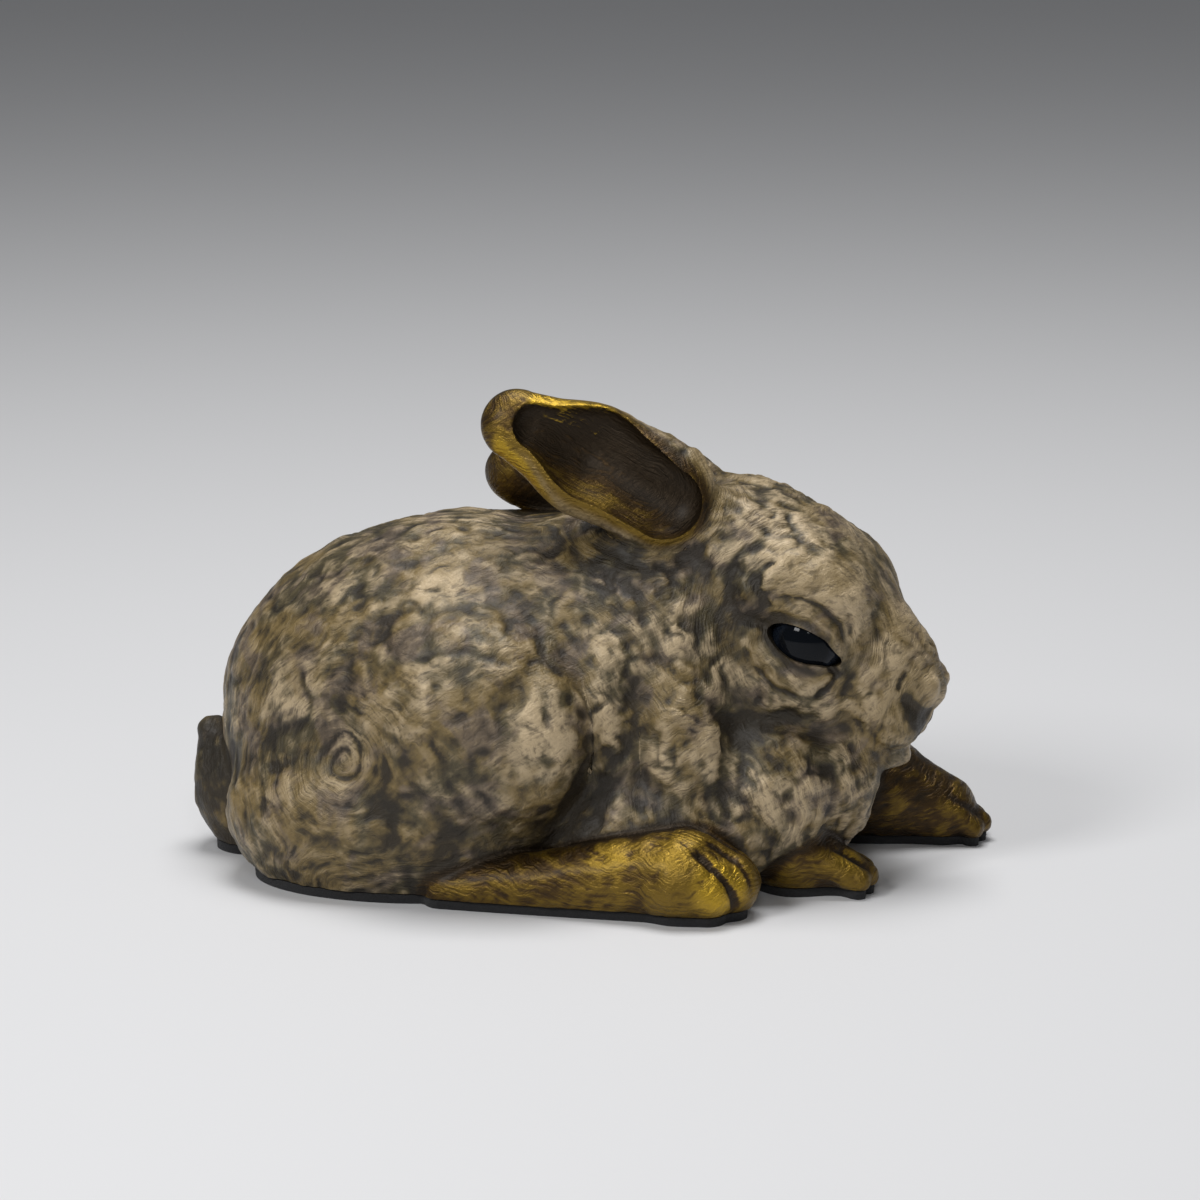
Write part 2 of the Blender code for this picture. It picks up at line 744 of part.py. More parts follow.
def make_felt(pieces_clay):
    """One sheet of felt, cut a little inside the outline of everything that stands on it."""
    obj = clay_object("base_felt", pieces_clay, 2.0, 12000, level=-FELT_INSET)
    bm = bmesh.new()
    bm.from_mesh(obj.data)
    everything = bm.verts[:] + bm.edges[:] + bm.faces[:]
    cut = bmesh.ops.bisect_plane(bm, geom=everything, dist=1e-6, plane_co=(0, 0, FLOOR * MM),
                                 plane_no=(0, 0, 1))
    rim = [item for item in cut["geom_cut"] if isinstance(item, bmesh.types.BMEdge)]
    outline = longest_loop(rim)
    points = [vert.co.copy() for vert in outline][::3]
    bm.clear()
    corners = [bm.verts.new((point.x, point.y, 0.0)) for point in points]
    sheet = bm.faces.new(corners)
    grown = bmesh.ops.extrude_face_region(bm, geom=[sheet])
    top = [item for item in grown["geom"] if isinstance(item, bmesh.types.BMVert)]
    bmesh.ops.translate(bm, verts=top, vec=(0, 0, FELT_THICKNESS * MM))
    bmesh.ops.recalc_face_normals(bm, faces=bm.faces[:])
    bm.to_mesh(obj.data)
    bm.free()
    return finish(obj, (0.012, 0.012, 0.013), 0.95, 0.0)


def longest_loop(edges):
    """The vertices of the longest closed loop among these edges, in order."""
    left = set(edges)
    best = []
    while left:
        edge = left.pop()
        loop = [edge.verts[0], edge.verts[1]]
        while True:
            onward = [e for e in loop[-1].link_edges if e in left]
            if not onward:
                break
            left.discard(onward[0])
            loop.append(onward[0].other_vert(loop[-1]))
        if loop[0] is loop[-1]:
            loop.pop()
        if len(loop) > len(best):
            best = loop
    return best


def standing_clay():
    """Everything that reaches the felt, as one clay."""
    pieces = [hind_foot_clay(RIGHT), hind_foot_clay(LEFT), forepaw_clay(RIGHT),
              forepaw_clay(LEFT), tail_clay()]
    return Clay(torso_masses() + pieces)


def centre_on_ground(objects):
    """Hang the pieces on an empty so that the whole stands centred over the origin."""
    corners = [obj.matrix_world @ vert.co for obj in objects for vert in obj.data.vertices]
    middle_x = (min(c.x for c in corners) + max(c.x for c in corners)) / 2
    middle_y = (min(c.y for c in corners) + max(c.y for c in corners)) / 2
    stand = bpy.data.objects.new("rabbit", None)
    bpy.context.scene.collection.objects.link(stand)
    stand.location = (-middle_x, -middle_y, 0.0)
    for obj in objects:
        obj.parent = stand


def clear_scene():
    for obj in list(bpy.data.objects):
        bpy.data.objects.remove(obj, do_unlink=True)


def main():
    clear_scene()
    clay = body_clay()
    body = make_body(clay)
    seats = Seats(clay, body)
    hollow_out(body)
    pieces = [body]
    pieces += make_tail(seats, body)
    for side in (RIGHT, LEFT):
        pieces += make_hind_foot(side, seats, body)
        pieces += make_forepaw(side, seats, body)
        pieces += make_ear(side, seats, body)
        pieces.append(make_eye(side, body))
    seats.remove()
    keep_largest(body)
    finish(body, (0.30, 0.26, 0.20), 0.42, 1.0)
    pieces.append(make_felt(standing_clay()))
    bpy.context.view_layer.update()
    centre_on_ground(pieces)


if __name__ == "__main__":
    main()
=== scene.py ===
"""Looks of the bronze rabbit sculpture, laid out as an add-on and run as a script.

The figure is modelled as one skin of clay: masses that blend into each other, then fur relief and
carved lines. The skin is cut along the casting's joints into the body, ears, paws, feet and tail.
Clay is worked in millimetres, in the frame of the casting before it is centred, and a finished
piece is turned into metres and put where the frame has it.
"""

import math

import bmesh
import bpy
import numpy as np
from bpy.props import FloatProperty, FloatVectorProperty, IntProperty, PointerProperty
from mathutils import Matrix, Vector, kdtree, noise


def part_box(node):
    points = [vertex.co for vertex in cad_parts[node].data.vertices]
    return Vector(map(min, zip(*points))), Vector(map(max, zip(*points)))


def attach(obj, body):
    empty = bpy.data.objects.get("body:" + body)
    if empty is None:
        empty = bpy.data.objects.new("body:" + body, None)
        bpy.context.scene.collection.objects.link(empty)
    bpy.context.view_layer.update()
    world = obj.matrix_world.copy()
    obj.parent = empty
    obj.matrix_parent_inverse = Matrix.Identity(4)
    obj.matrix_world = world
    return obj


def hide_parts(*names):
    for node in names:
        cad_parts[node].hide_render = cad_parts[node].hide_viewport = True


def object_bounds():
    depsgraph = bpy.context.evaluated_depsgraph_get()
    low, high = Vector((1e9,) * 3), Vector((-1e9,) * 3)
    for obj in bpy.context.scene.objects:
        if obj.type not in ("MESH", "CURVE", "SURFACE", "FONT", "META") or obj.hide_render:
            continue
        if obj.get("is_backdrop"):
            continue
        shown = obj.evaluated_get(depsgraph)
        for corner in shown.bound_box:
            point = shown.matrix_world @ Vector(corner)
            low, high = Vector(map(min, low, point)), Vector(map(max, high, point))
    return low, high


bl_info = {
    "name": "Bronze Rabbit Sculpture",
    "version": (1, 0, 0),
    "blender": (4, 5, 0),
    "location": "3D View > Sidebar > Rabbit",
    "description": "Builds a patinated bronze rabbit with glass eyes on a felt base",
    "category": "Object",
}

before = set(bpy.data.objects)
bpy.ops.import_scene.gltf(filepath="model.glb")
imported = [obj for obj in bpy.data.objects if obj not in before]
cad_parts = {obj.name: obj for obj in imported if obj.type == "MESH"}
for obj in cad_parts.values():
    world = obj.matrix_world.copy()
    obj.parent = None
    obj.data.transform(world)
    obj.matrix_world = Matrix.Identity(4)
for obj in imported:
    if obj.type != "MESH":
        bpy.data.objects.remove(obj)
cad_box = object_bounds()

MM = 0.001
RIGHT, LEFT = -1, 1
SIDE_NAMES = {RIGHT: "right", LEFT: "left"}

# Sizes of the casting, in millimetres and degrees
CASTING_WALL = 4.5
SEAT_DEPTH = 1.5
GAP = 0.3
FELT_THICKNESS = 2.0
FLOOR = FELT_THICKNESS + GAP
FELT_INSET = 0.6

TORSO_LENGTH = 117.0
TORSO_WIDTH = 82.0
BACK_HEIGHT = 79.5
TORSO_MIDDLE = -26.0
TORSO_AXIS_HEIGHT = 33.5
SHOULDER_HEIGHT = 82.5
SHOULDER_WIDTH = 66.0
CHEST_WIDTH = 54.0
CHEST_FRONT = 64.0

THIGH_LENGTH = 60.0
THIGH_HEIGHT = 56.0
THIGH_BULGE = 9.0
HIND_FOOT_SPREAD = 43.0
HIND_FOOT_LENGTH = 76.0
HIND_TOES_AHEAD = 10.0
HIND_FOOT_HEIGHT = 19.5
PAW_SPREAD = {RIGHT: 20.5, LEFT: 25.0}
PAW_TIP = {RIGHT: 67.0, LEFT: 90.0}
PAW_WIDTH = 14.0

HEAD_MIDDLE = (48.0, -3.0, 59.0)
HEAD_PITCH = 25.0
HEAD_YAW = -11.0
HEAD_WIDTH = 45.0
HEAD_HEIGHT = 48.0
SNOUT_WIDTH = 33.0
NOSE_REACH = 36.0
EYE_SPREAD = 14.0
EYE_RADIUS = 8.5
EYE_OPENING_LENGTH = 17.4
EYE_OPENING_HEIGHT = 7.6
EYE_PITCH = -4.0
LID_THICKNESS = 1.1

EAR_LENGTH = 56.0
EAR_ROOT_WIDTH = 26.0
EAR_TIP_WIDTH = 16.0
EAR_FLATNESS = 0.62
EAR_RIM = 2.0
EAR_CUP_LIFT = 4.5
EAR_LIFT = {RIGHT: 25.0, LEFT: 7.0}
EAR_ROOT = {RIGHT: (-31, -11, 28.5), LEFT: (-31, 15, 23)}
EAR_FACING = 21.0

TAIL_HEIGHT = 31.0
TAIL_STANDS_OUT = 7.5
TAIL_WIDTH = 21.0

# Facets of the blanks, and how far a cutter for the joints stands out of its piece
CUP_VOXEL = 0.7
SEAT_VOXEL = 2.0
JOINT_VOXEL = 1.3
JOINT_CLEARANCE = 1.0
CORE_VOXEL = 3.0
FELT_VOXEL = 1.0
SLAB_WIDTH = 400.0
SLAB_DEPTH = 90.0
SOCKET_GAP = 0.1
SOCKET_SEGMENTS = 64
EYE_SEGMENTS = 96

# What the camera aims at, in the same millimetres
VIEW_MIDDLE = (2.0, 0.0, 60.0)


# Settings

def length_setting(name, default, low, high, text):
    return FloatProperty(name=name, default=default, min=low, max=high, unit="LENGTH",
                         description=text)


def angle_setting(name, degrees, text):
    return FloatProperty(name=name, default=math.radians(degrees), unit="ROTATION",
                         description=text)


def colour_setting(name, default, text):
    return FloatVectorProperty(name=name, subtype="COLOR", default=default, description=text)


class RabbitFormSettings(bpy.types.PropertyGroup):
    """Fineness and relief of the modelled surface."""
    skin_voxel: length_setting("Skin Voxel", 0.0008, 0.0005, 0.003,
                               "Size of the facets of the skin")
    lump_height: length_setting("Lump Height", 0.0006, 0, 0.002,
                                "Height of the soft lumps in the fur")
    clump_height: length_setting("Clump Height", 0.0004, 0, 0.002, "Height of the clumps of fur")
    tuft_height: length_setting("Tuft Height", 0.0003, 0, 0.002,
                                "Height of the modelled tufts of fur")
    lock_height: length_setting("Lock Height", 0.0002, 0, 0.001,
                                "Height of the fine locks on the tufts")
    nap_count: IntProperty(name="Nap Count", default=2600, min=0, max=20000,
                           description="Number of fibres that stand out of the felt's edge")
    nap_length: length_setting("Nap Length", 0.00045, 0.0001, 0.002, "Length of a felt fibre")


class RabbitPatinaSettings(bpy.types.PropertyGroup):
    """Colours of the patina, the glass and the felt."""
    cream: colour_setting("Cream", (0.50, 0.385, 0.235), "Pale patina on the raised fur")
    ochre: colour_setting("Ochre", (0.19, 0.132, 0.048), "Warm patina between the pale patches")
    olive: colour_setting("Olive", (0.088, 0.070, 0.034), "Grey-green patina between the ochre")
    mauve: colour_setting("Mauve", (0.150, 0.112, 0.080), "Cool patina in broad patches")
    # Shadow is the dark patina, and the patina also lays it into hollows and fur seams as painted
    # shade
    shadow: colour_setting("Shadow", (0.016, 0.012, 0.008), "Dark patina left in the recesses")
    brown: colour_setting("Brown", (0.058, 0.031, 0.007), "Brown patina of the ears and paws")
    gold: colour_setting("Gold", (0.42, 0.265, 0.024), "Bronze that is rubbed bright")
    glass: colour_setting("Glass", (0.003, 0.004, 0.006), "Blue-black glass of the eyes")
    felt: colour_setting("Felt", (0.012, 0.012, 0.013), "Black wool felt")
    rod: colour_setting("Rod", (0.42, 0.30, 0.15), "Bare bronze rod of the pins")
    stroke_width: length_setting("Stroke Width", 0.0008, 0.0003, 0.005,
                                 "Width of a stroke of patina")


class RabbitStageSettings(bpy.types.PropertyGroup):
    """Floor and camera."""
    floor: colour_setting("Floor", (0.74, 0.74, 0.75), "Colour of the floor")
    azimuth: angle_setting("Azimuth", -7.0, "How far the camera stands to the side")
    elevation: angle_setting("Elevation", 13.0, "How far the camera looks down")
    distance: length_setting("Distance", 1.0, 0.2, 100.0,
                             "From the camera to the middle of the picture")
    view_width: length_setting("View Width", 0.26952, 0.05, 10.0, "Width of the picture there")


# Clay: distances are negative inside, points are rows of an array

def turned(pitch=0.0, yaw=0.0):
    """Axes (forward, left, up) of a mass with its nose down by pitch and to the left by yaw."""
    p, y = math.radians(pitch), math.radians(yaw)
    down = np.array([[math.cos(p), 0, math.sin(p)], [0, 1, 0], [-math.sin(p), 0, math.cos(p)]])
    aside = np.array([[math.cos(y), -math.sin(y), 0], [math.sin(y), math.cos(y), 0], [0, 0, 1]])
    return aside @ down


def blended(a, b, width):
    """Union of two distances, with a fillet of about this width."""
    share = np.clip(0.5 + 0.5 * (b - a) / width, 0.0, 1.0)
    return b + (a - b) * share - width * share * (1.0 - share)


def faded(values, start, end):
    """0 before start and 1 after end, with a soft passage between them."""
    t = np.clip((values - start) / (end - start), 0.0, 1.0)
    return t * t * (3.0 - 2.0 * t)


def falling(values, start, end):
    """1 before start and 0 after end, with a soft passage between them."""
    return 1.0 - faded(values, start, end)


def band(values, start, full, waning, end):
    """0 before start and after end, and 1 from full to waning."""
    return faded(values, start, full) * falling(values, waning, end)


def bell(values, width):
    """1 at zero, and soon nothing further off than the width."""
    return np.exp(-(values / width) ** 2)


def on_side(side, place):
    """A place given for the left side, on the side that is asked for."""
    return (place[0], side * place[1], place[2])


def off_segment(points, start, end):
    """Distance of each point from a segment, and the share of it that lies before that point."""
    run = end - start
    share = np.clip(((points - start) @ run) / max(run @ run, 1e-9), 0.0, 1.0)
    return np.linalg.norm(points - start - share[:, None] * run, axis=1), share


class Egg:
    """An ellipsoid; a hollow one is taken away from what it joins."""

    def __init__(self, middle, radii, axes=None, blend=3.0, hollow=False):
        self.middle = np.array(middle, float)
        self.radii = np.array(radii, float)
        self.axes = np.eye(3) if axes is None else axes
        self.blend = blend
        self.hollow = hollow

    def distance(self, points):
        q = (points - self.middle) @ self.axes
        near = np.sqrt(((q / self.radii) ** 2).sum(1))
        slope = np.sqrt(((q / self.radii ** 2) ** 2).sum(1)) + 1e-9
        return near * (near - 1.0) / slope

    def add_blank(self, bm, place):
        """Add this mass, roughly, to a blank that is remeshed afterwards."""
        add_ball(bm, place @ placed(self.middle, self.axes), self.radii)


class Limb:
    """A round-ended taper between two points; flat squeezes its third axis."""

    def __init__(self, start, end, start_radius, end_radius, flat=1.0, blend=3.0, hollow=False):
        self.start = np.array(start, float)
        self.end = np.array(end, float)
        self.start_radius = start_radius
        self.end_radius = end_radius
        self.flat = flat
        self.blend = blend
        self.hollow = hollow

    def distance(self, points):
        stretch = np.array([1.0, 1.0, 1.0 / self.flat])
        start, end, q = self.start * stretch, self.end * stretch, points * stretch
        off, along = off_segment(q, start, end)
        radius = self.start_radius + (self.end_radius - self.start_radius) * along
        return (off - radius) * self.flat

    def add_blank(self, bm, place):
        length = np.linalg.norm(self.end - self.start)
        steps = max(2, math.ceil(2.0 * length / min(self.start_radius, self.end_radius)))
        for i in range(steps + 1):
            middle = self.start + (self.end - self.start) * i / steps
            radius = self.start_radius + (self.end_radius - self.start_radius) * i / steps
            add_ball(bm, place @ placed(middle, np.eye(3)), (radius, radius, radius * self.flat))


class Clay:
    """Masses put together in order, in a frame of their own."""

    def __init__(self, masses, middle=(0, 0, 0), axes=None, blend=3.0, hollow=False):
        self.masses = masses
        self.middle = np.array(middle, float)
        self.axes = np.eye(3) if axes is None else axes
        self.blend = blend
        self.hollow = hollow

    def distance(self, points):
        q = (points - self.middle) @ self.axes
        total = self.masses[0].distance(q)
        for mass in self.masses[1:]:
            part = mass.distance(q)
            if mass.hollow:
                total = -blended(-total, part, mass.blend)
            else:
                total = blended(total, part, mass.blend)
        return total

    def slope(self, points, here, step=0.03):
        """Slope of the distance, given what it is at the points."""
        sides = [self.distance(points + step * axis) - here for axis in np.eye(3)]
        return np.stack(sides, axis=1) / step

    def add_blank(self, bm, place=None):
        place = (place or Matrix.Identity(4)) @ placed(self.middle, self.axes)
        for mass in self.masses:
            if not mass.hollow:
                mass.add_blank(bm, place)

    def point(self, local):
        """A point of the clay's own frame in the casting's millimetres."""
        return self.middle + self.axes @ np.array(local, float)


def placed(middle, axes):
    """Matrix whose columns are the axes, at the middle point."""
    matrix = Matrix(axes.tolist()).to_4x4()
    matrix.translation = Vector(middle)
    return matrix


def add_ball(bm, place, radii):
    """One squeezed ball of a blank."""
    matrix = place @ Matrix.Diagonal((*radii, 1.0))
    bmesh.ops.create_icosphere(bm, subdivisions=3, radius=1.0, matrix=matrix)


# The animal's masses

def torso_masses():
    """Torso, shoulders, chest, belly and rump, and then the legs' part of the body."""
    half_length, half_width = TORSO_LENGTH / 2, TORSO_WIDTH / 2
    masses = [
        Egg((TORSO_MIDDLE, 0, TORSO_AXIS_HEIGHT),
            (half_length, half_width, BACK_HEIGHT - TORSO_AXIS_HEIGHT)),
        Egg((TORSO_MIDDLE + 38, 0, SHOULDER_HEIGHT - 38.5),
            (34, SHOULDER_WIDTH / 2, 38.5), blend=10),
        Egg((CHEST_FRONT - 25, 0, 24), (25, CHEST_WIDTH / 2, 30), blend=8),
        Egg((TORSO_MIDDLE + 40, 0, 18), (38, CHEST_WIDTH / 2 - 3, 21), blend=5),
        Egg((TORSO_MIDDLE - half_length + 28, 0, 15), (21, 30, 21), blend=8),
    ]
    for side in (RIGHT, LEFT):
        masses += leg_masses(side, half_width)
    return masses


def leg_masses(side, half_width):
    """Haunch, thigh, knee, flank, upper arm, shoulder, chest and belly on one side."""
    thigh_thickness = 22.5
    thigh_middle = half_width + THIGH_BULGE - thigh_thickness
    return [
        Egg((TORSO_MIDDLE - 13, side * (half_width - 21), 15), (41, 26, 25), blend=5),
        Egg((TORSO_MIDDLE + 1, side * thigh_middle, 37),
            (THIGH_LENGTH / 2, thigh_thickness, THIGH_HEIGHT / 2),
            turned(pitch=-6, yaw=side * 9), blend=3.5),
        Egg((TORSO_MIDDLE + 19, side * (thigh_middle + 11), 36),
            (10.5, 10.5, 15), turned(pitch=10), blend=4),
        Egg((CHEST_FRONT - 56, side * (CHEST_WIDTH / 2 + 2.5), 38),
            (6.5, 7.5, 20), turned(pitch=-4), blend=4),
        Egg((CHEST_FRONT - 40, side * (CHEST_WIDTH / 2 - 0.5), 33),
            (10.5, 12, 20), turned(pitch=-8), blend=3),
        Egg((CHEST_FRONT - 23, side * (CHEST_WIDTH / 2 - 7), 22), (16, 15, 17), blend=3.5),
        Egg((CHEST_FRONT - 10.5, side * (CHEST_WIDTH / 2 - 16), 24), (12.5, 13, 16), blend=2.5),
        Egg((CHEST_FRONT - 46, side * (HIND_FOOT_SPREAD - 14), 13), (25, 12, 15), blend=4),
    ]


def head_clay():
    """The head, in a frame with its middle between the ears and eyes."""
    half_width, half_height = HEAD_WIDTH / 2, HEAD_HEIGHT / 2
    # skull and muzzle, then the chin and nose
    masses = [
        Egg((-9, 0, 0.5), (29, half_width, half_height - 1)),
        Egg((NOSE_REACH - 22.5, 0, -5.5), (22.5, SNOUT_WIDTH / 2 - 0.5, 18), blend=8),
    ]
    for side in (RIGHT, LEFT):
        masses += face_masses(side)
    masses += [
        Egg((NOSE_REACH - 9, 0, -18.5), (8.5, 7, 5), blend=2.5),
        Egg((NOSE_REACH - 4.5, 0, -1.5), (5, 5, 4.5), blend=2),
    ]
    for side in (RIGHT, LEFT):
        forward, aside, up = eye_middle(side)
        # nostril's wing, eye socket, upper and lower fold, eyelids
        masses += [
            Egg((NOSE_REACH - 4, side * 4, 0.3), (3.6, 3, 3.4), blend=1),
            Egg((forward - 0.5, aside + side * 11, up + 1), (10, 5.5, 6), blend=4, hollow=True),
            Limb((forward - 8, aside + side * 4.8, up + 4.5),
                 (forward + 2.5, aside + side * 4.4, up + 7), 2.4, 1.8, blend=2.5),
            Limb((forward - 3, aside + side * 4.8, up - 8.2),
                 (forward + 6, aside + side * 4, up - 8), 2.6, 2.2, blend=2),
            Egg(eye_middle(side), (EYE_RADIUS + LID_THICKNESS,) * 3, blend=1.5),
        ]
    return Clay(masses, HEAD_MIDDLE, turned(HEAD_PITCH, HEAD_YAW), blend=3)


def face_masses(side):
    """Cheek, brow, ear root and upper lip on one side of the head."""
    return [
        Egg((2, side * 12, -9.5), (17, 11.5, 13), blend=5),
        Egg((1, side * 12.5, 10), (13.5, 9.5, 8.5), blend=6),
        Egg((-21, side * 9.5, 10.5), (13, 9, 9.5), blend=6),
        Egg((NOSE_REACH - 10, side * 5.5, -10), (10, 7.5, 8), blend=3),
    ]


def eye_middle(side):
    """Middle of an eyeball in the head's frame."""
    return (5.5, side * EYE_SPREAD, 0.3)


def ear_frame(side):
    """Root point and axes of an ear: along it, across it and out of its opening."""
    lift, facing = math.radians(EAR_LIFT[side]), math.radians(EAR_FACING)
    along = np.array([-math.cos(lift), 0.0, math.sin(lift)])
    out = np.array([0.0, side * math.cos(facing), math.sin(facing)])
    out -= (out @ along) * along
    out /= np.linalg.norm(out)
    across = np.cross(out, along)
    return np.array(HEAD_MIDDLE) + EAR_ROOT[side], np.stack([along, across, out], axis=1)


def ear_leaf(side, blend=3.0):
    """The ear's spoon shape, still solid."""
    root, tip = EAR_ROOT_WIDTH / 2, EAR_TIP_WIDTH / 2
    reach = EAR_LENGTH - root - tip
    middle = (reach / 2, 0, 0)
    masses = [
        Limb((0, 0, 0), middle, root, root - 0.7, EAR_FLATNESS),
        Limb(middle, (reach, 0, 0), root - 0.7, tip, EAR_FLATNESS, blend=2),
    ]
    return Clay(masses, *ear_frame(side), blend=blend)


def ear_cup(side):
    """What is carved out of the spoon: a bowl that leaves its lower edge broad."""
    root, tip = EAR_ROOT_WIDTH / 2 - EAR_RIM, EAR_TIP_WIDTH / 2 - EAR_RIM
    reach = EAR_LENGTH - EAR_ROOT_WIDTH / 2 - EAR_TIP_WIDTH / 2
    start = (-1.5, -side * 1.5, EAR_CUP_LIFT)
    middle = (reach / 2, side * 1.2, EAR_CUP_LIFT)
    end = (reach - 4.5, side * 1.2, EAR_CUP_LIFT)
    return Clay([
        Limb(start, middle, root - 2.5, root - 1, EAR_FLATNESS),
        Limb(middle, end, root - 1, tip - 0.5, EAR_FLATNESS, blend=2),
    ], *ear_frame(side), blend=1.5, hollow=True)


def hind_foot_clay(side):
    """A hind foot lying flat, with a thick outer toe and a higher inner one."""
    y = side * HIND_FOOT_SPREAD
    tip = TORSO_MIDDLE + TORSO_LENGTH / 2 + HIND_TOES_AHEAD
    heel = tip - HIND_FOOT_LENGTH
    ball = tip - 17.5
    height = HIND_FOOT_HEIGHT / 2
    return Clay([
        Limb((heel + 6, y - side * 2.5, 3.5), (ball, y, height - 0.5), 5, height + 0.5),
        Limb((ball, y + side * 3.6, height - 1.5), (tip - 11.5, y + side * 4.2, 7.2),
             8, 7, blend=3),
        Limb((ball + 3, y - side * 2, height), (tip - 7.5, y - side * 0.8, 7.5),
             9.4, 7.5, blend=1.2),
    ], blend=1.2)


def forepaw_clay(side):
    """A forearm and paw lying flat, its toes running down from the knuckles side by side."""
    y = side * PAW_SPREAD[side]
    tip = PAW_TIP[side]
    half = PAW_WIDTH / 2
    thicker = 0.0 if side == RIGHT else 4.0
    elbow = (CHEST_FRONT - 26, side * (CHEST_WIDTH / 2 - 9), 12)
    wrist = (tip - half - 12 - 2.25 * thicker, y, 8 + 1.1 * thicker)
    ball = (tip - half - 1 - thicker, y, 4.5 + 0.6 * thicker)
    masses = [
        Limb(elbow, wrist, 10.5, half + 1 + thicker),
        Limb(wrist, ball, half + 1 + thicker, 4.8 + 0.9 * thicker, blend=4),
    ]
    for row, back in ((-1, 1.5), (1, 1.5), (0, 0)):
        knuckle = (tip - half - 8 - 0.3 * thicker, y + row * half * 0.5, 8.5 + 0.8 * thicker)
        toe = (tip - 3 - back, y + row * half * 0.65, 4)
        masses.append(Limb(knuckle, toe, half * 0.62, 3, blend=1.4))
    return Clay(masses, blend=1.2)


def tail_clay():
    """The tail, curled up against the rump."""
    reach = TORSO_MIDDLE - TORSO_LENGTH / 2 - TAIL_STANDS_OUT
    middle = reach + 11
    return Clay([
        Limb((middle + 4, 0, 4), (reach + 5, 0, TAIL_HEIGHT - 4), 9, 4),
        Egg((middle, 0, TAIL_HEIGHT / 2 - 2), (10.5, TAIL_WIDTH / 2, TAIL_HEIGHT / 2),
            turned(pitch=-12), blend=3),
    ], blend=1.2)


def body_clay():
    """Torso and head together, without the pieces that are welded on."""
    return Clay(torso_masses() + [head_clay(), ear_cup(RIGHT), ear_cup(LEFT)])


def figure_clay():
    """The whole animal with its ears still solid, the welded pieces run into the body."""
    pieces = [tail_clay()]
    for side in (RIGHT, LEFT):
        pieces += [hind_foot_clay(side), forepaw_clay(side), ear_leaf(side)]
    return Clay(torso_masses() + [head_clay()] + pieces)


def core_clay():
    """The core that leaves the casting hollow; it runs out through the underside."""
    wall = CASTING_WALL
    head = head_clay()
    return Clay([
        Egg((TORSO_MIDDLE, 0, TORSO_AXIS_HEIGHT),
            (TORSO_LENGTH / 2 - wall, TORSO_WIDTH / 2 - wall,
             BACK_HEIGHT - TORSO_AXIS_HEIGHT - wall)),
        Egg((TORSO_MIDDLE + 38, 0, SHOULDER_HEIGHT - 38.5),
            (34 - wall, SHOULDER_WIDTH / 2 - wall, 38.5 - wall), blend=4),
        Egg(head.point((-13, 0, 0)), (16, HEAD_WIDTH / 2 - wall - 3, HEAD_HEIGHT / 2 - wall - 3),
            head.axes, blend=4),
    ])


# Carved lines

class Line:
    """A line cut into the surface, or raised where its depth is negative; it is darkened by dark
    patina in the line and by painted shade along it.
    """

    def __init__(self, points, depth, width, patina_and_shade=None):
        self.points = np.array(points, float)
        self.depth = depth
        self.width = width
        self.patina_and_shade = max(depth, 0.0) if patina_and_shade is None else patina_and_shade

    def lay_on(self, clay, spacing=2.5):
        """Bring the line onto the clay's surface, with its points closer together."""
        dense = [self.points[:1]]
        for start, end in zip(self.points[:-1], self.points[1:]):
            steps = max(1, round(np.linalg.norm(end - start) / spacing))
            share = np.arange(1, steps + 1)[:, None] / steps
            dense.append(start + (end - start) * share)
        self.points = np.concatenate(dense)
        for _ in range(4):
            here = clay.distance(self.points)
            slope = clay.slope(self.points, here)
            steep = np.maximum((slope ** 2).sum(1), 0.05)
            self.points -= (np.clip(here, -1.5, 1.5) / steep)[:, None] * slope

    def strength(self, points):
        """How much of the line is at each point, from 0 to 1."""
        reach = 3 * self.width
        low, high = self.points.min(0) - reach, self.points.max(0) + reach
        near = np.flatnonzero(((points > low) & (points < high)).all(1))
        strength = np.zeros(len(points))
        if len(near):
            strength[near] = self.profile(points[near])
        return strength

    def profile(self, points):
        """The line's round profile, which fades at both ends."""
        nearest = np.full(len(points), np.inf)
        along = np.zeros(len(points))
        last = len(self.points) - 1
        for i in range(last):
            off, share = off_segment(points, self.points[i], self.points[i + 1])
            closer = off < nearest
            nearest[closer] = off[closer]
            along[closer] = (i + share[closer]) / last
        return band(along, -0.05, 0.2, 0.8, 1.05) * bell(nearest, self.width)
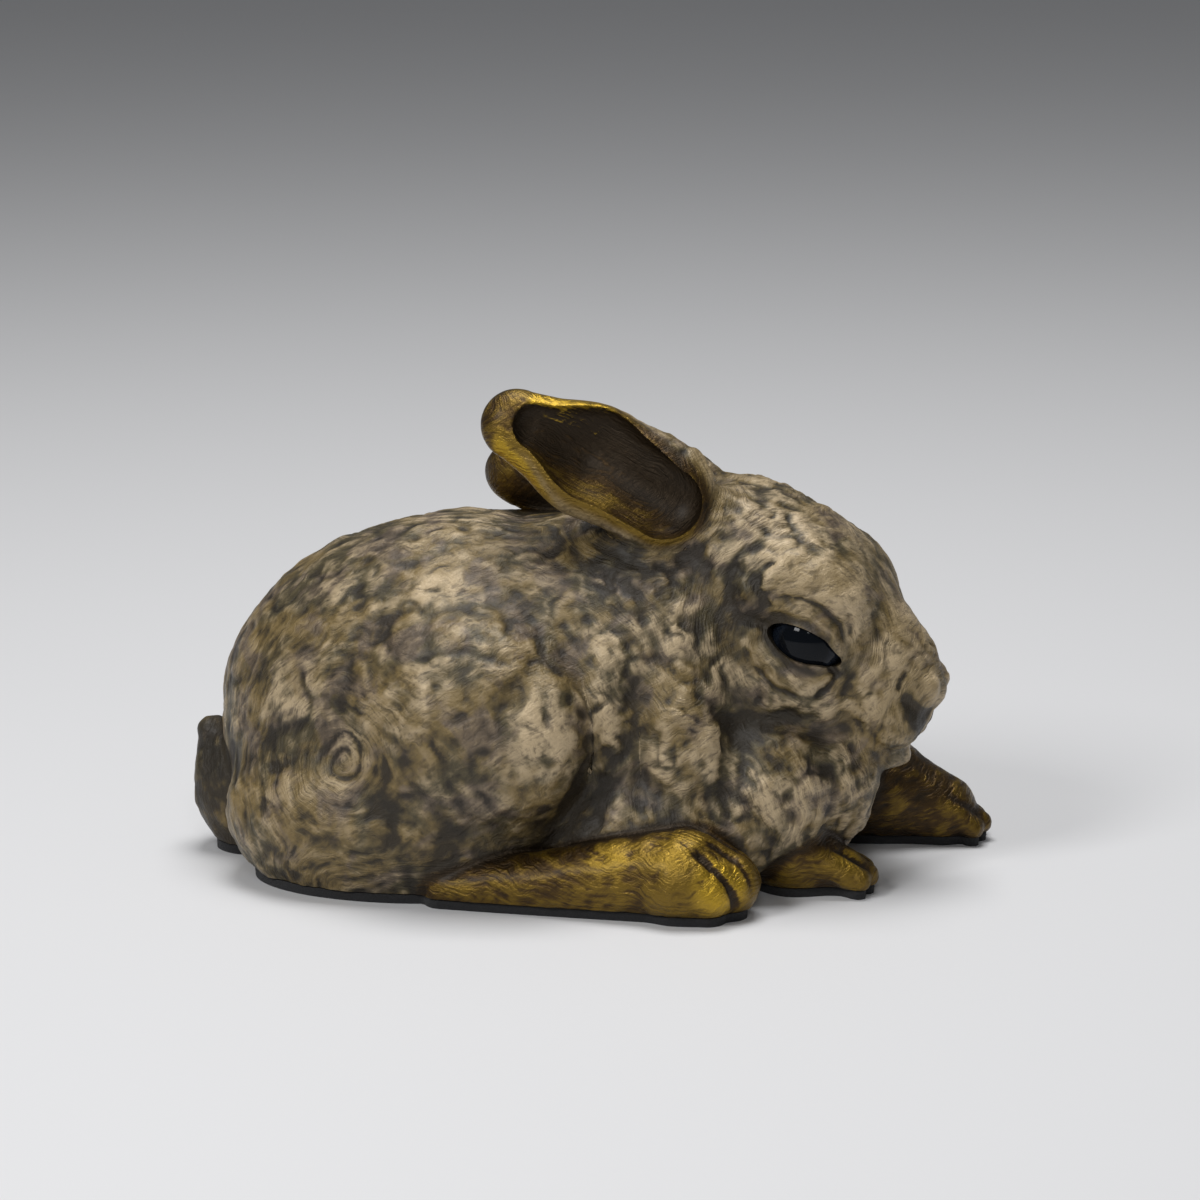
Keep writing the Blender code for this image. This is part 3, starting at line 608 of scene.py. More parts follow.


# Lines as points, depth, width and darkening (dark patina and painted shade); the head's are in its
# own frame, all for the left side
FACE_LINES = (
    # tear duct, outer corner, upper and lower lid
    (((12.5, 20.0, -1.0), (15.8, 18.6, -2.4), (15.4, 19.2, -6.5), (13.0, 20.8, -10.5)), 1.1, 1.0),
    (((-2.0, 21.0, 0.2), (-6.0, 21.2, 0.0), (-10.0, 21.4, -1.0)), 0.8, 1.2),
    (((-4.0, 21.0, 0.5), (0.0, 21.8, 3.8), (5.5, 22.0, 4.9), (11.0, 21.0, 2.8),
      (14.5, 19.2, -1.5)), 0.0, 1.3, 1.0),
    (((-4.0, 21.0, 0.0), (1.0, 22.0, -2.8), (6.0, 22.2, -4.0), (11.5, 21.0, -3.8),
      (14.5, 19.2, -2.5)), 0.0, 1.1, 1.0),
    # fold above the eye and the groove over it, fold below the eye and the groove under it
    (((-4.5, 20.8, 4.2), (0.0, 21.6, 6.6), (5.0, 21.4, 7.2), (10.5, 20.0, 5.4),
      (14.5, 18.8, 2.0)), -0.6, 1.0),
    (((-6.5, 21.0, 6.5), (0.0, 22.0, 9.6), (6.0, 21.6, 10.2), (12.0, 19.6, 8.0),
      (16.0, 18.0, 4.0)), 0.6, 0.9),
    (((0.0, 21.8, -5.6), (5.0, 22.4, -7.2), (10.0, 21.6, -7.0)), -0.5, 1.2),
    (((-2.0, 21.8, -8.4), (5.0, 22.6, -10.6), (11.5, 21.4, -10.2)), 0.6, 0.9),
    # nostril, its lower edge and its wing
    (((29.0, 11.5, -1.2), (31.5, 10.0, -3.0), (34.5, 7.5, -4.6), (36.5, 5.0, -5.4),
      (38.0, 1.5, -5.6)), 0.9, 1.7, 2.0),
    (((30.5, 10.5, -4.5), (34.0, 8.0, -7.6), (37.0, 4.0, -8.6), (37.5, 1.0, -8.6)), 0.4, 2.0, 2.0),
    (((29.0, 10.5, 4.0), (28.0, 11.5, 1.0), (28.6, 11.6, -2.0)), 0.5, 1.0),
    # lip, cheek crease, jaw and whisker pad
    (((37.0, 2.0, -8.0), (35.6, 5.5, -11.0), (34.5, 7.0, -13.0)), 0.4, 0.8),
    (((-9.3, 33.3, -16.3), (-2.5, 31.0, -20.1), (4.9, 23.6, -19.6), (12.0, 20.9, -14.5),
      (14.5, 20.0, -11.0)), 0.5, 2.2, 0.9),
    (((0.2, 27.9, -22.3), (12.6, 29.0, -24.0), (20.6, 24.2, -23.2), (29.3, 10.9, -20.5)),
     0.4, 2.0, 0.5),
    (((20.0, 17.5, 1.0), (19.0, 18.5, -5.0), (19.5, 17.5, -11.0)), 0.35, 1.4),
    # folds behind the brow, and strokes on it
    (((-9.0, 20.0, 17.0), (-12.0, 20.5, 12.0), (-11.5, 21.5, 7.0), (-8.0, 21.6, 3.5)), -0.6, 1.2),
    (((-7.0, 21.0, 16.5), (-9.4, 21.4, 12.0), (-8.4, 22.0, 7.5), (-4.0, 22.2, 4.8)), 0.6, 0.8),
    (((-12.0, 20.0, 18.0), (-15.5, 20.5, 12.0), (-15.0, 21.5, 5.0), (-11.0, 22.0, 0.0)), 0.6, 1.1),
    (((10.0, 20.0, 14.5), (13.5, 18.6, 10.0), (16.0, 17.4, 5.0)), 0.3, 1.1),
    (((14.0, 13.0, 16.0), (19.0, 13.0, 12.0), (22.0, 13.5, 7.0)), 0.3, 1.2),
)
LIP_PARTING = (((37, 0, -4.5), (37, 0, -9), (35.5, 0, -13)), 0.7, 0.8)
HIP_WHORL = (-50, 41, 32)


def hip_spiral(turns=1.6, steps=20):
    """The swirl of fur on the hip, from its eye outwards."""
    x, y, z = HIP_WHORL
    points = []
    for i in range(steps + 1):
        angle = 2 * math.pi * turns * i / steps
        radius = 1.5 + 6.0 * i / steps
        points.append((x + radius * math.cos(angle), y, z + radius * math.sin(angle)))
    return points


BODY_LINES = (
    # thigh's edge, painted shade with no cut, and a stroke along it
    (((-40, 33, 60), (-22, 33, 65), (-11, 34, 61), (-5, 36, 57), (1, 42, 47), (4, 41, 39),
      (3, 40, 30), (-1, 37, 20), (-6, 37, 14)), 0.0, 2.4, 0.8),
    (((-36, 41, 54), (-22, 42, 57), (-10, 43, 54)), 0.35, 1.2),
    # grooves behind the upper arm and behind the shoulder, hip
    (((13, 33, 53), (12.5, 35, 46), (12.4, 36, 38), (9.6, 37, 31), (7, 37, 24), (4.5, 38, 18)),
     0.5, 2.2, 0.85),
    (((27, 33, 50), (29, 36, 41), (21, 38, 32)), 0.5, 2.2, 0.8),
    (hip_spiral(), 0.3, 0.8, 0.35),
    # between the toes of the hind foot
    (((27, 49.5, 17.2), (30.7, 50.3, 14.9), (33.8, 51, 12.6), (36.7, 51.1, 8.7), (37.9, 48.2, 3)),
     1.0, 1.1, 1.4),
    (((30, 45.5, 18), (36.5, 45.4, 14.2), (40, 46.9, 10.7), (41.2, 46.4, 5)), 0.6, 0.8, 0.9),
    (((27, 40, 19.5), (35, 41, 15), (40, 42, 8.5), (42, 42, 4)), 1.0, 0.9),
)


def paw_lines(side):
    """Lines between the toes of a forepaw."""
    tip = PAW_TIP[side]
    lines = []
    for aside in (-3.6, 3.6):
        y = side * PAW_SPREAD[side] + aside
        points = [(tip - 12, y, 10), (tip - 7, y, 8), (tip - 3.5, y, 5)]
        lines.append(Line(points, 0.5, 0.8, 1.1))
    return lines


def all_lines():
    """Every carved line, laid on the figure's surface."""
    head = head_clay()
    points, *cut = LIP_PARTING
    lines = [Line([head.point(place) for place in points], *cut)]
    for side in (RIGHT, LEFT):
        lines += [Line([head.point(on_side(side, place)) for place in points], *cut)
                  for points, *cut in FACE_LINES]
        lines += [Line([on_side(side, place) for place in points], *cut)
                  for points, *cut in BODY_LINES]
        lines += paw_lines(side)
    figure = figure_clay()
    for line in lines:
        line.lay_on(figure)
    return lines


# Fur

def whorls():
    """Segments that the fur's strokes run around or along, each with how tightly it holds them."""
    head = head_clay()
    nose = head.point((40, 0, -6))
    found = [(nose, nose, 1.0)]
    for side in (RIGHT, LEFT):
        root, axes = ear_frame(side)
        foot, paw = side * HIND_FOOT_SPREAD, side * PAW_SPREAD[side]
        found += [
            ((-30, side * 30, 28), (-14, side * 30, 32), 0.8),
            (on_side(side, HIP_WHORL),) * 2 + (1.1,),
            ((30, side * 30, 20), (30, side * 30, 20), 1.1),
            (head.point((6, side * 14, 0)), head.point((6, side * 14, 0)), 1.2),
            ((-50, foot, 2), (60, foot, 2), 1.6),
            ((35, paw, 2), (PAW_TIP[side] + 20, paw, 2), 1.6),
            (root + 3 * axes[:, 0], root + 60 * axes[:, 0], 1.8),
        ]
    return found


def lay_of(points):
    """A height whose level lines the strokes of fur follow, in millimetres."""
    total = None
    for start, end, hold in whorls():
        off = hold * off_segment(points, np.array(start, float), np.array(end, float))[0]
        total = off if total is None else blended(total, off, 5.0)
    return total


def noise_at(points, size, shift=0.0):
    """Soft noise from about -1 to 1 with features of this size."""
    places = (points / size + shift).tolist()
    return np.array([noise.noise(place) for place in places])


def stroke_noise(points, lay, width, length, shift=0.0):
    """Noise drawn out along the lay of the fur."""
    x, y, z = points.T
    places = np.stack([lay / width, (x + 0.6 * y) / length, (z - 0.6 * y) / length], axis=1)
    return noise_at(places, 1.0, shift)


class Clumps:
    """Clumps of fur: how much of a seam each point holds, and a tone that each clump has.

    One middle is taken from each cell of a warped grid, and a clump is what lies nearest to it.
    """
    # how far the grid is bent, by noise of which size and shift
    warps = ((3.6, 7.5, 11.0), (1.5, 2.8, 17.0))
    rump_size, body_size, face_size = 13.0, 9.0, 7.5
    seam_width, dome_width = 2.0, 6.5

    def __init__(self, points, head):
        warped = points.copy()
        for axis in range(3):
            for far, size, shift in self.warps:
                warped[:, axis] += far * noise_at(points, size, shift * (axis + 1))
        rump = falling(points[:, 0], -6.0, 12.0)
        close = falling(np.linalg.norm(points - head.point((12, 0, 0)), axis=1), 24.0, 34.0)
        random = np.random.default_rng(5)
        order = random.permutation(len(points))
        middles = []
        for size, zone in ((self.rump_size, rump > 0.5),
                           (self.body_size, (rump <= 0.5) & (close < 0.5)),
                           (self.face_size, close >= 0.5)):
            chosen = order[zone[order]]
            cells = np.floor(warped[chosen] / size).astype(int)
            _, first = np.unique(cells, axis=0, return_index=True)
            middles.append(warped[chosen[first]])
        middles = np.concatenate(middles)
        tones = random.uniform(-1.0, 1.0, len(middles))
        tree = tree_of(middles)
        found = [tree.find_n(place, 2) for place in warped]
        near = np.array([pair[0][2] for pair in found])
        gap = np.array([pair[1][2] for pair in found]) - near
        self.tone = tones[[pair[0][1] for pair in found]]
        shown = faded(noise_at(points, 7.0, 21.0) - 0.25 * rump, -0.25, 0.45)
        self.seam = bell(gap, self.seam_width) * shown
        self.dome = faded(gap, 0.0, self.dome_width) * (1.0 - 0.5 * rump)


def fur_relief(points, lay, form):
    """Lumps, tufts and locks, outwards in millimetres."""
    bent = lay + 5.0 * noise_at(points, 16.0, 3.7) + 1.6 * noise_at(points, 5.0, 8.1)
    rump = falling(points[:, 0], -4.0, 14.0)
    lumps = noise_at(points, 4.6, 1.3) + 0.6 * noise_at(points, 2.6, 5.9)
    swells = noise_at(points, 11.0, 9.3)
    tufts = stroke_noise(points, bent, 2.2, 10.0, 2.2)
    locks = stroke_noise(points, bent, 1.1, 5.0, 6.4)
    return (form.lump_height * (lumps * (1.0 - 0.45 * rump) + 0.9 * swells)
            + form.tuft_height * tufts * (0.35 + 0.65 * rump)
            + form.lock_height * locks) / MM


# Masks of the patina

def near_spot(points, middle, radius):
    """1 in the middle of a spot and 0 outside it."""
    off = np.linalg.norm(points - np.array(middle, float), axis=1)
    return falling(off, 0.35 * radius, 1.25 * radius)


# Patches of the patina and of painted light and shade as place, radius and value: pale above zero
# and dark below
BODY_PATINA_AND_PAINTED_LIGHT = (
    # hip, knee (pale patina with a painted highlight), back, rump and flank
    (HIP_WHORL, 7, 1.1), ((-7, 50, 39), 9, 1.2), ((-32, 27, 68), 9, 1.0), ((-63, 30, 45), 8, 1.0),
    ((-25, 15, 77), 9, 0.8), ((-17, 45, 56), 6, 0.8), ((-10, 24, 72), 7, 0.8),
    ((6, 33, 58), 5, 0.6), ((7, 36, 44), 6, 0.6),
    # shoulder and chest
    ((27, 37, 36), 6, 0.5), ((42, 34, 22), 8, 0.4), ((58, 24, 26), 6, 0.3), ((17, 29, 62), 8, 0.3),
    # painted shadow below the ear on the withers, dark on the thigh and its top, and painted shade
    # low on the body and under the chest
    ((9, 24, 71), 9, -0.9), ((-20, 49, 42), 8, -0.6), ((-34, 46, 18), 14, -0.5),
    ((-52, 34, 62), 5, -0.8), ((-43, 33, 61), 5, -0.8), ((0, 42, 20), 9, -0.7),
    ((-60, 26, 12), 12, -0.4), ((20, 36, 18), 10, -0.5), ((40, 35, 14), 8, -0.6),
)
WHOLE_FACE = ((8, 8, 5), 30, 0.25)
# Painted shadow below the ears, on the nape and withers, as place, radius and value
UNDER_EAR_SHADOWS = (((-8, 14, 80), 7, -0.9), ((2, 20, 76), 7, -0.9), ((17, 26, 70), 7, -0.7))
HEAD_PATINA_AND_PAINTED_LIGHT = (
    # brow (pale patina with a painted highlight), muzzle (painted highlight on the whisker pad),
    # lip, nose, forehead, below the eye, cheek
    ((-2, 22, 13), 8, 1.0), ((26, 13, -2), 5, 0.9), ((24, 14, -11), 7, 0.5), ((33, 6, 1), 4, 0.5),
    ((10, 19, 12), 6, 0.4), ((8, 22, -8), 5, 0.3), ((-2, 23, -12), 8, 0.3),
    # dark at the eye's corners and round it, painted shade in the nostril and under the cheek, dark
    # on the crown and at the ear root
    ((-9, 22, 2), 7, -1.1), ((15, 19, -3), 4, -0.9), ((0, 22, 0), 9, -0.4), ((34, 5, -8), 4, -0.9),
    ((10, 24, -20), 10, -0.8), ((14, 6, 17), 12, -0.4), ((-26, 20, 4), 9, -0.6),
)


def pale_and_dark(points, head):
    """Where the patina was rubbed pale or left dark, and where shade and highlights are painted:
    painted shadow below the ears, painted shade under the cheeks and chest, low on the rear and in
    the ears' bowls, painted highlights on the knee, brow and whisker pad; from -2 to 2.
    """
    total = np.zeros(len(points))
    for side in (RIGHT, LEFT):
        for patches, on_head in ((BODY_PATINA_AND_PAINTED_LIGHT, False), ((WHOLE_FACE,), True),
                                 (UNDER_EAR_SHADOWS, False), (HEAD_PATINA_AND_PAINTED_LIGHT, True)):
            for place, radius, value in patches:
                middle = on_side(side, place)
                middle = head.point(middle) if on_head else middle
                total += value * near_spot(points, middle, radius)
        along, down, leaf = ear_places(points, side)
        inside = leaf * ear_inside(points, side)
        # In the bowl, the lower wall is painted lighter and the rest painted darker, most near the
        # root: painted light and shade of the cup.
        lower_wall, near_root = faded(down, 0.5, 8.0), falling(along, 2.0, 18.0)
        total += inside * (lower_wall * 2.6 - 0.6 - 0.7 * near_root)
        total -= leaf * (0.5 * faded(along, 36.0, 42.0) + (0.6 if side == LEFT else 0.0))
    tail = falling(tail_clay().distance(points), 0.2, 2.0)
    rump = falling(points[:, 0], -15.0, 25.0)
    # low: painted shade, the rear half darker towards the bottom
    low = rump * falling(points[:, 2], 10.0, 40.0)
    for side, dull in ((RIGHT, 0.3), (LEFT, 0.9)):
        total -= dull * falling(forepaw_clay(side).distance(points), 0.2, 2.0)
    return np.clip(total - 2.0 * tail - 0.35 * low - 0.35 * rump, -2.0, 2.0)


def ear_places(points, side):
    """Along an ear from its root, down across it, and how much of its leaf is there."""
    root, axes = ear_frame(side)
    local = (points - root) @ axes
    leaf = falling(ear_leaf(side).distance(points), 0.8, 2.5)
    return local[:, 0], -side * local[:, 1], leaf


def ear_inside(points, side):
    """How much each point belongs to the carved inside of an ear."""
    return falling(ear_cup(side).distance(points), 0.4, 2.0)


def browned(points):
    """Where the brown of the ears and paws takes over from the fur's patina, from 0 to 1."""
    total = np.zeros(len(points))
    for side in (RIGHT, LEFT):
        for clay in (hind_foot_clay(side), forepaw_clay(side)):
            total = np.maximum(total, falling(clay.distance(points), 0.5, 2.0))
        along, _, leaf = ear_places(points, side)
        fur_ends = faded(along, 12.0, 34.0)
        total = np.maximum(total, leaf * np.maximum(fur_ends, ear_inside(points, side)))
    return total


def rubbed(points):
    """Where hands and cloth have rubbed the bronze to gold, from 0 to 1."""
    total = np.zeros(len(points))
    for side in (RIGHT, LEFT):
        along, down, leaf = ear_places(points, side)
        cup = ear_cup(side).distance(points)
        near_cup = leaf * bell(cup, 4.0)
        depth = -ear_leaf(side).distance(points)
        # the crest of the lower rim, and the wall inside the upper one
        crest = bell(depth - 0.2, 1.2) * faded(down, 1.5, 5.0) * band(along, 12.0, 22.0, 34.0, 40.0)
        crest *= bell(cup - 2.8, 1.3) / np.maximum(near_cup, 0.3)
        brim = bell(depth - 3.2, 3.0) * faded(-down, 3.5, 6.0)
        brim *= 2.4 * band(along, 15.0, 20.0, 32.0, 37.0)
        total = np.maximum(total, np.minimum(1.4 * near_cup * np.maximum(crest, brim), 1.0))
        y, tip = side * PAW_SPREAD[side], PAW_TIP[side]
        for middle, radius, value in (
                ((34, side * 50, 9), 8, 0.8), ((25, side * 49, 18), 10, 0.35),
                ((10, side * 50, 17), 9, 0.4), ((tip - 7, y + side * 3, 9), 5, 0.5)):
            total = np.maximum(total, value * near_spot(points, middle, radius))
    return total * browned(points)


# Meshes

def shift_of_frame():
    """From the casting's own millimetres to where the frame has it, in metres."""
    low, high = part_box("right_eye")
    return (low + high) / 2 - Vector(head_clay().point(eye_middle(RIGHT))) * MM


def new_object(name, mesh):
    obj = bpy.data.objects.new(name, mesh)
    bpy.context.scene.collection.objects.link(obj)
    return obj


def object_from(name, bm):
    mesh = bpy.data.meshes.new(name)
    bm.to_mesh(mesh)
    bm.free()
    return new_object(name, mesh)


def evaluated(obj):
    """Replace an object's mesh by what its modifiers make of it."""
    depsgraph = bpy.context.evaluated_depsgraph_get()
    mesh = bpy.data.meshes.new_from_object(obj.evaluated_get(depsgraph))
    old = obj.data
    obj.modifiers.clear()
    obj.data = mesh
    bpy.data.meshes.remove(old)
    return obj


def discard(*objects):
    for obj in objects:
        mesh = obj.data
        bpy.data.objects.remove(obj)
        bpy.data.meshes.remove(mesh)


def copy_of(obj, name):
    return new_object(name, obj.data.copy())


def remeshed(obj, voxel):
    """Even facets of this size all over, with the creases between the balls eased."""
    remesh = obj.modifiers.new("remesh", "REMESH")
    remesh.mode = "VOXEL"
    remesh.voxel_size = voxel
    smooth = obj.modifiers.new("smooth", "SMOOTH")
    smooth.factor = 0.5
    smooth.iterations = 4
    return evaluated(obj)


def combined(obj, other, operation, keep=False):
    """Boolean with another object, which is then discarded unless it is kept."""
    boolean = obj.modifiers.new("boolean", "BOOLEAN")
    boolean.operation = operation
    boolean.object = other
    boolean.solver = "MANIFOLD"
    evaluated(obj)
    if not keep:
        discard(other)
    if not obj.data.vertices:
        raise RuntimeError(f"nothing is left of {obj.name}")
    return obj


def places_of(mesh, kind="co"):
    flat = np.empty(3 * len(mesh.vertices))
    mesh.vertices.foreach_get(kind, flat)
    return flat.reshape(-1, 3)


def normals_of(mesh):
    return places_of(mesh, "normal")


def put_places(mesh, points):
    mesh.vertices.foreach_set("co", points.ravel())
    mesh.update()


def settle(obj, clay, level=0.0, rounds=5):
    """Move each vertex onto the surface that lies level millimetres outside the clay's.

    The slope is found in every second round only, because it costs three distances.
    """
    points = places_of(obj.data)
    for i in range(rounds):
        here = clay.distance(points)
        if i % 2 == 0:
            slope = clay.slope(points, here)
            push = slope / np.maximum((slope ** 2).sum(1), 0.2)[:, None]
        points = points - np.clip(here - level, -2.0, 2.0)[:, None] * push
    put_places(obj.data, points)
    return obj


def clay_object(name, clay, voxel, level=0.0):
    """A clay meshed: its blank of balls, remeshed and settled on its surface."""
    bm = bmesh.new()
    clay.add_blank(bm)
    return settle(remeshed(object_from(name, bm), voxel), clay, level)


def closer_facets(obj, spots):
    """Halve the facets that lie near these (middle, radius) spots."""
    bm = bmesh.new()
    bm.from_mesh(obj.data)
    chosen = set()
    for middle, radius in spots:
        middle = Vector(middle)
        chosen.update(face for face in bm.faces
                      if (face.calc_center_median() - middle).length < radius)
    edges = list({edge for face in chosen for edge in face.edges})
    bmesh.ops.subdivide_edges(bm, edges=edges, cuts=1, use_grid_fill=True)
    bmesh.ops.triangulate(bm, faces=[face for face in bm.faces if len(face.verts) > 4])
    bm.to_mesh(obj.data)
    bm.free()


def tree_of(points):
    """For finding the nearest of many points."""
    tree = kdtree.KDTree(len(points))
    for i, point in enumerate(points):
        tree.insert(point, i)
    tree.balance()
    return tree


def softened(mesh, points, rounds):
    """Values by vertex after this many rounds of averaging with their neighbours."""
    edges = np.empty(2 * len(mesh.edges), np.int64)
    mesh.edges.foreach_get("vertices", edges)
    first, second = edges.reshape(-1, 2).T
    count = len(points)
    neighbours = np.bincount(first, minlength=count) + np.bincount(second, minlength=count)
    for _ in range(rounds):
        sums = [np.bincount(first, points[second, i], count)
                + np.bincount(second, points[first, i], count)
                for i in range(points.shape[1])]
        points = 0.5 * points + 0.5 * np.stack(sums, axis=1) / neighbours[:, None]
    return points


def hollows_of(mesh):
    """How deep each vertex lies in a hollow, or how far it stands out, from -1 to 1."""
    full_fine, full_broad = 0.22, 0.9
    points, normals = places_of(mesh), normals_of(mesh)
    near = softened(mesh, points, 10)
    wide = softened(mesh, near, 50)
    fine = ((near - points) * normals).sum(1)
    broad = ((wide - near) * normals).sum(1)
    return np.clip(fine / full_fine + broad / full_broad, -1.0, 1.0)


def mark(mesh, name, values):
    """Note a value at each vertex, for the materials."""
    attribute = mesh.attributes.new(name, "FLOAT", "POINT")
    attribute.data.foreach_set("value", values.astype(np.float32))


# The skin, from which every bronze piece is cut

def welded_clays():
    """The clay of each piece that is welded to the body, by node."""
    clays = {"tail": tail_clay()}
    for side in (RIGHT, LEFT):
        name = SIDE_NAMES[side]
        clays[name + "_ear"] = ear_leaf(side)
        clays[name + "_forepaw"] = forepaw_clay(side)
        clays[name + "_hind_foot"] = hind_foot_clay(side)
    return clays


class Skin:
    """The whole figure's surface, made once, with its masks by vertex."""
    made = None

    def __init__(self, form):
        clay = figure_clay()
        voxel = form.skin_voxel / MM
        self.obj = clay_object("figure_skin", clay, voxel)
        head = head_clay()
        eyes_and_nose = (7, -20, 0), (7, 20, 0), (31, 0, -7)
        closer_facets(self.obj, [(head.point(place), 13) for place in eyes_and_nose])
        settle(self.obj, clay, rounds=2)
        self.add_relief(form, head)
        self.carve_ears()
        self.find_masks(head)
        combined(self.obj, slab(FLOOR - SLAB_DEPTH, FLOOR), "DIFFERENCE")
        self.cut_joints()

    def add_relief(self, form, head):
        """Raise the fur and cut the lines, and keep what the masks need of both."""
        mesh = self.obj.data
        points, normals = places_of(mesh), normals_of(mesh)
        clumps = Clumps(points, head)
        out = fur_relief(points, lay_of(points), form)
        out += form.clump_height / MM * (clumps.dome - 0.7 - 0.6 * clumps.seam)
        furry = self.furriness(points, head)
        out *= furry * (1.0 - 0.8 * np.clip(2.0 * hollows_of(mesh), 0.0, 1.0))
        # darkening along the lines: dark patina in them and painted shade along them
        patina_and_shade = np.zeros(len(points))
        for line in all_lines():
            strength = line.strength(points)
            out -= line.depth * strength
            patina_and_shade = np.maximum(patina_and_shade, line.patina_and_shade * strength)
        put_places(mesh, points + out[:, None] * normals)
        tone = softened(mesh, clumps.tone[:, None], 8)[:, 0]
        self.uncut_masks = {"patina_and_shade": patina_and_shade, "seam": clumps.seam * furry, "tone": tone}
        self.uncut_tree = tree_of(places_of(mesh))

    def carve_ears(self):
        """Cut the ears' bowls, and round the rims a little."""
        for side in (RIGHT, LEFT):
            combined(self.obj, clay_object("cup", ear_cup(side), CUP_VOXEL), "DIFFERENCE")
        mesh = self.obj.data
        points = places_of(mesh)
        soft = softened(mesh, points, 8)
        rim = np.zeros(len(points))
        for side in (RIGHT, LEFT):
            off = np.abs(ear_cup(side).distance(points)) + np.abs(ear_leaf(side).distance(points))
            rim = np.maximum(rim, falling(off, 0.6, 3.2))
        put_places(mesh, points + rim[:, None] * (soft - points))

    def furriness(self, points, head):
        """Share of the relief at each point: less on the nose, lids, crown, ears and feet."""
        share = 1.0 - 0.6 * browned(points)
        for side in (RIGHT, LEFT):
            along, _, leaf = ear_places(points, side)
            smooth = np.maximum(faded(along, 0.0, 20.0), ear_inside(points, side))
            share *= 1.0 - 0.8 * leaf * smooth
            share *= 1.0 - 0.75 * near_spot(points, head.point((6, side * 21, 0)), 11)
            share *= 1.0 - 0.35 * near_spot(points, on_side(side, HIP_WHORL), 10)
        share *= 1.0 - 0.7 * near_spot(points, head.point((31, 0, -6)), 15)
        share *= 1.0 - 0.7 * near_spot(points, head.point((12, 0, 18)), 20)
        return share

    def find_masks(self, head):
        """Masks of the carved skin; some are taken over from the skin before it was carved."""
        mesh = self.obj.data
        points = places_of(mesh)
        self.masks = {
            "lay": lay_of(points),
            "hollow": hollows_of(mesh),
            "patina_and_painted_light": pale_and_dark(points, head),
            "earth": browned(points),
            "rub": rubbed(points),
        }
        nearest = [self.uncut_tree.find(place)[1] for place in points]
        for name, values in self.uncut_masks.items():
            self.masks[name] = values[nearest]
        # A line's darkening, dark patina and painted shade, is added to the hollows.
        self.masks["hollow"] = np.clip(self.masks["hollow"] + 0.9 * self.masks.pop("patina_and_shade"), -1, 1)
        self.tree = tree_of(points)

    def cut_joints(self):
        """Part the skin into the body and the welded pieces, which fit it without a gap."""
        clays = welded_clays()
        seat = clay_object("seat", body_clay(), SEAT_VOXEL, level=GAP - SEAT_DEPTH)
        cutter = None
        for clay in clays.values():
            piece = clay_object("joint", clay, JOINT_VOXEL, level=JOINT_CLEARANCE)
            cutter = combined(cutter, piece, "UNION") if cutter else piece
        combined(cutter, seat, "DIFFERENCE")
        welded = copy_of(self.obj, "welded")
        combined(welded, cutter, "INTERSECT", keep=True)
        combined(self.obj, cutter, "DIFFERENCE")
        self.welded = parted(welded, clays)

    def give_masks(self, mesh):
        """Each vertex of a cut piece takes the masks of the nearest vertex of the skin."""
        nearest = [self.tree.find(place)[1] for place in places_of(mesh)]
        for name, values in self.masks.items():
            mark(mesh, name, values[nearest])

    def remove(self):
        """Take the skin away once every piece is cut from it."""
        discard(self.obj)
        Skin.made = None


def the_skin():
    """The one skin that all pieces share."""
    if Skin.made is None:
        Skin.made = Skin(bpy.context.scene.rabbit_form)
    return Skin.made


def islands(bm):
    """The vertices of a mesh, in connected groups."""
    left = set(bm.verts)
    while left:
        group = {left.pop()}
        edge_of_group = list(group)
        while edge_of_group:
            near = {edge.other_vert(vert) for vert in edge_of_group for edge in vert.link_edges}
            edge_of_group = list(near - group)
            group.update(edge_of_group)
        left -= group
        yield group


def parted(obj, clays):
    """Split an object into one per clay; crumbs are dropped."""
    crumb = 200
    whole = bmesh.new()
    whole.from_mesh(obj.data)
    owner = {}
    for group in islands(whole):
        points = np.array([vert.co for vert in group])
        nearest = min(clays, key=lambda name: np.abs(clays[name].distance(points)).mean())
        for vert in group:
            owner[vert.index] = nearest if len(group) > crumb else None
    whole.free()
    pieces = {}
    for name in clays:
        bm = bmesh.new()
        bm.from_mesh(obj.data)
        bmesh.ops.delete(bm, geom=[v for v in bm.verts if owner[v.index] != name],
                         context="VERTS")
        pieces[name] = object_from(name + "_bronze", bm)
    discard(obj)
    return pieces


def slab(low, high):
    """A block between two heights, wider than the figure."""
    bm = bmesh.new()
    middle = Matrix.Translation((0, 0, (low + high) / 2))
    size = Matrix.Diagonal((SLAB_WIDTH, SLAB_WIDTH, high - low, 1))
    bmesh.ops.create_cube(bm, size=1.0, matrix=middle @ size)
    return object_from("slab", bm)


def felt_sheet():
    """The felt: what the figure covers at its underside, cut a little inside its edge."""
    thin = 0.1
    obj = clay_object("felt_sheet", figure_clay(), FELT_VOXEL, level=-FELT_INSET)
    combined(obj, slab(FLOOR - thin / 2, FLOOR + thin / 2), "INTERSECT")
    points = places_of(obj.data)
    points[:, 2] = (points[:, 2] - FLOOR + thin / 2) / thin * FELT_THICKNESS
    put_places(obj.data, points)
    return obj


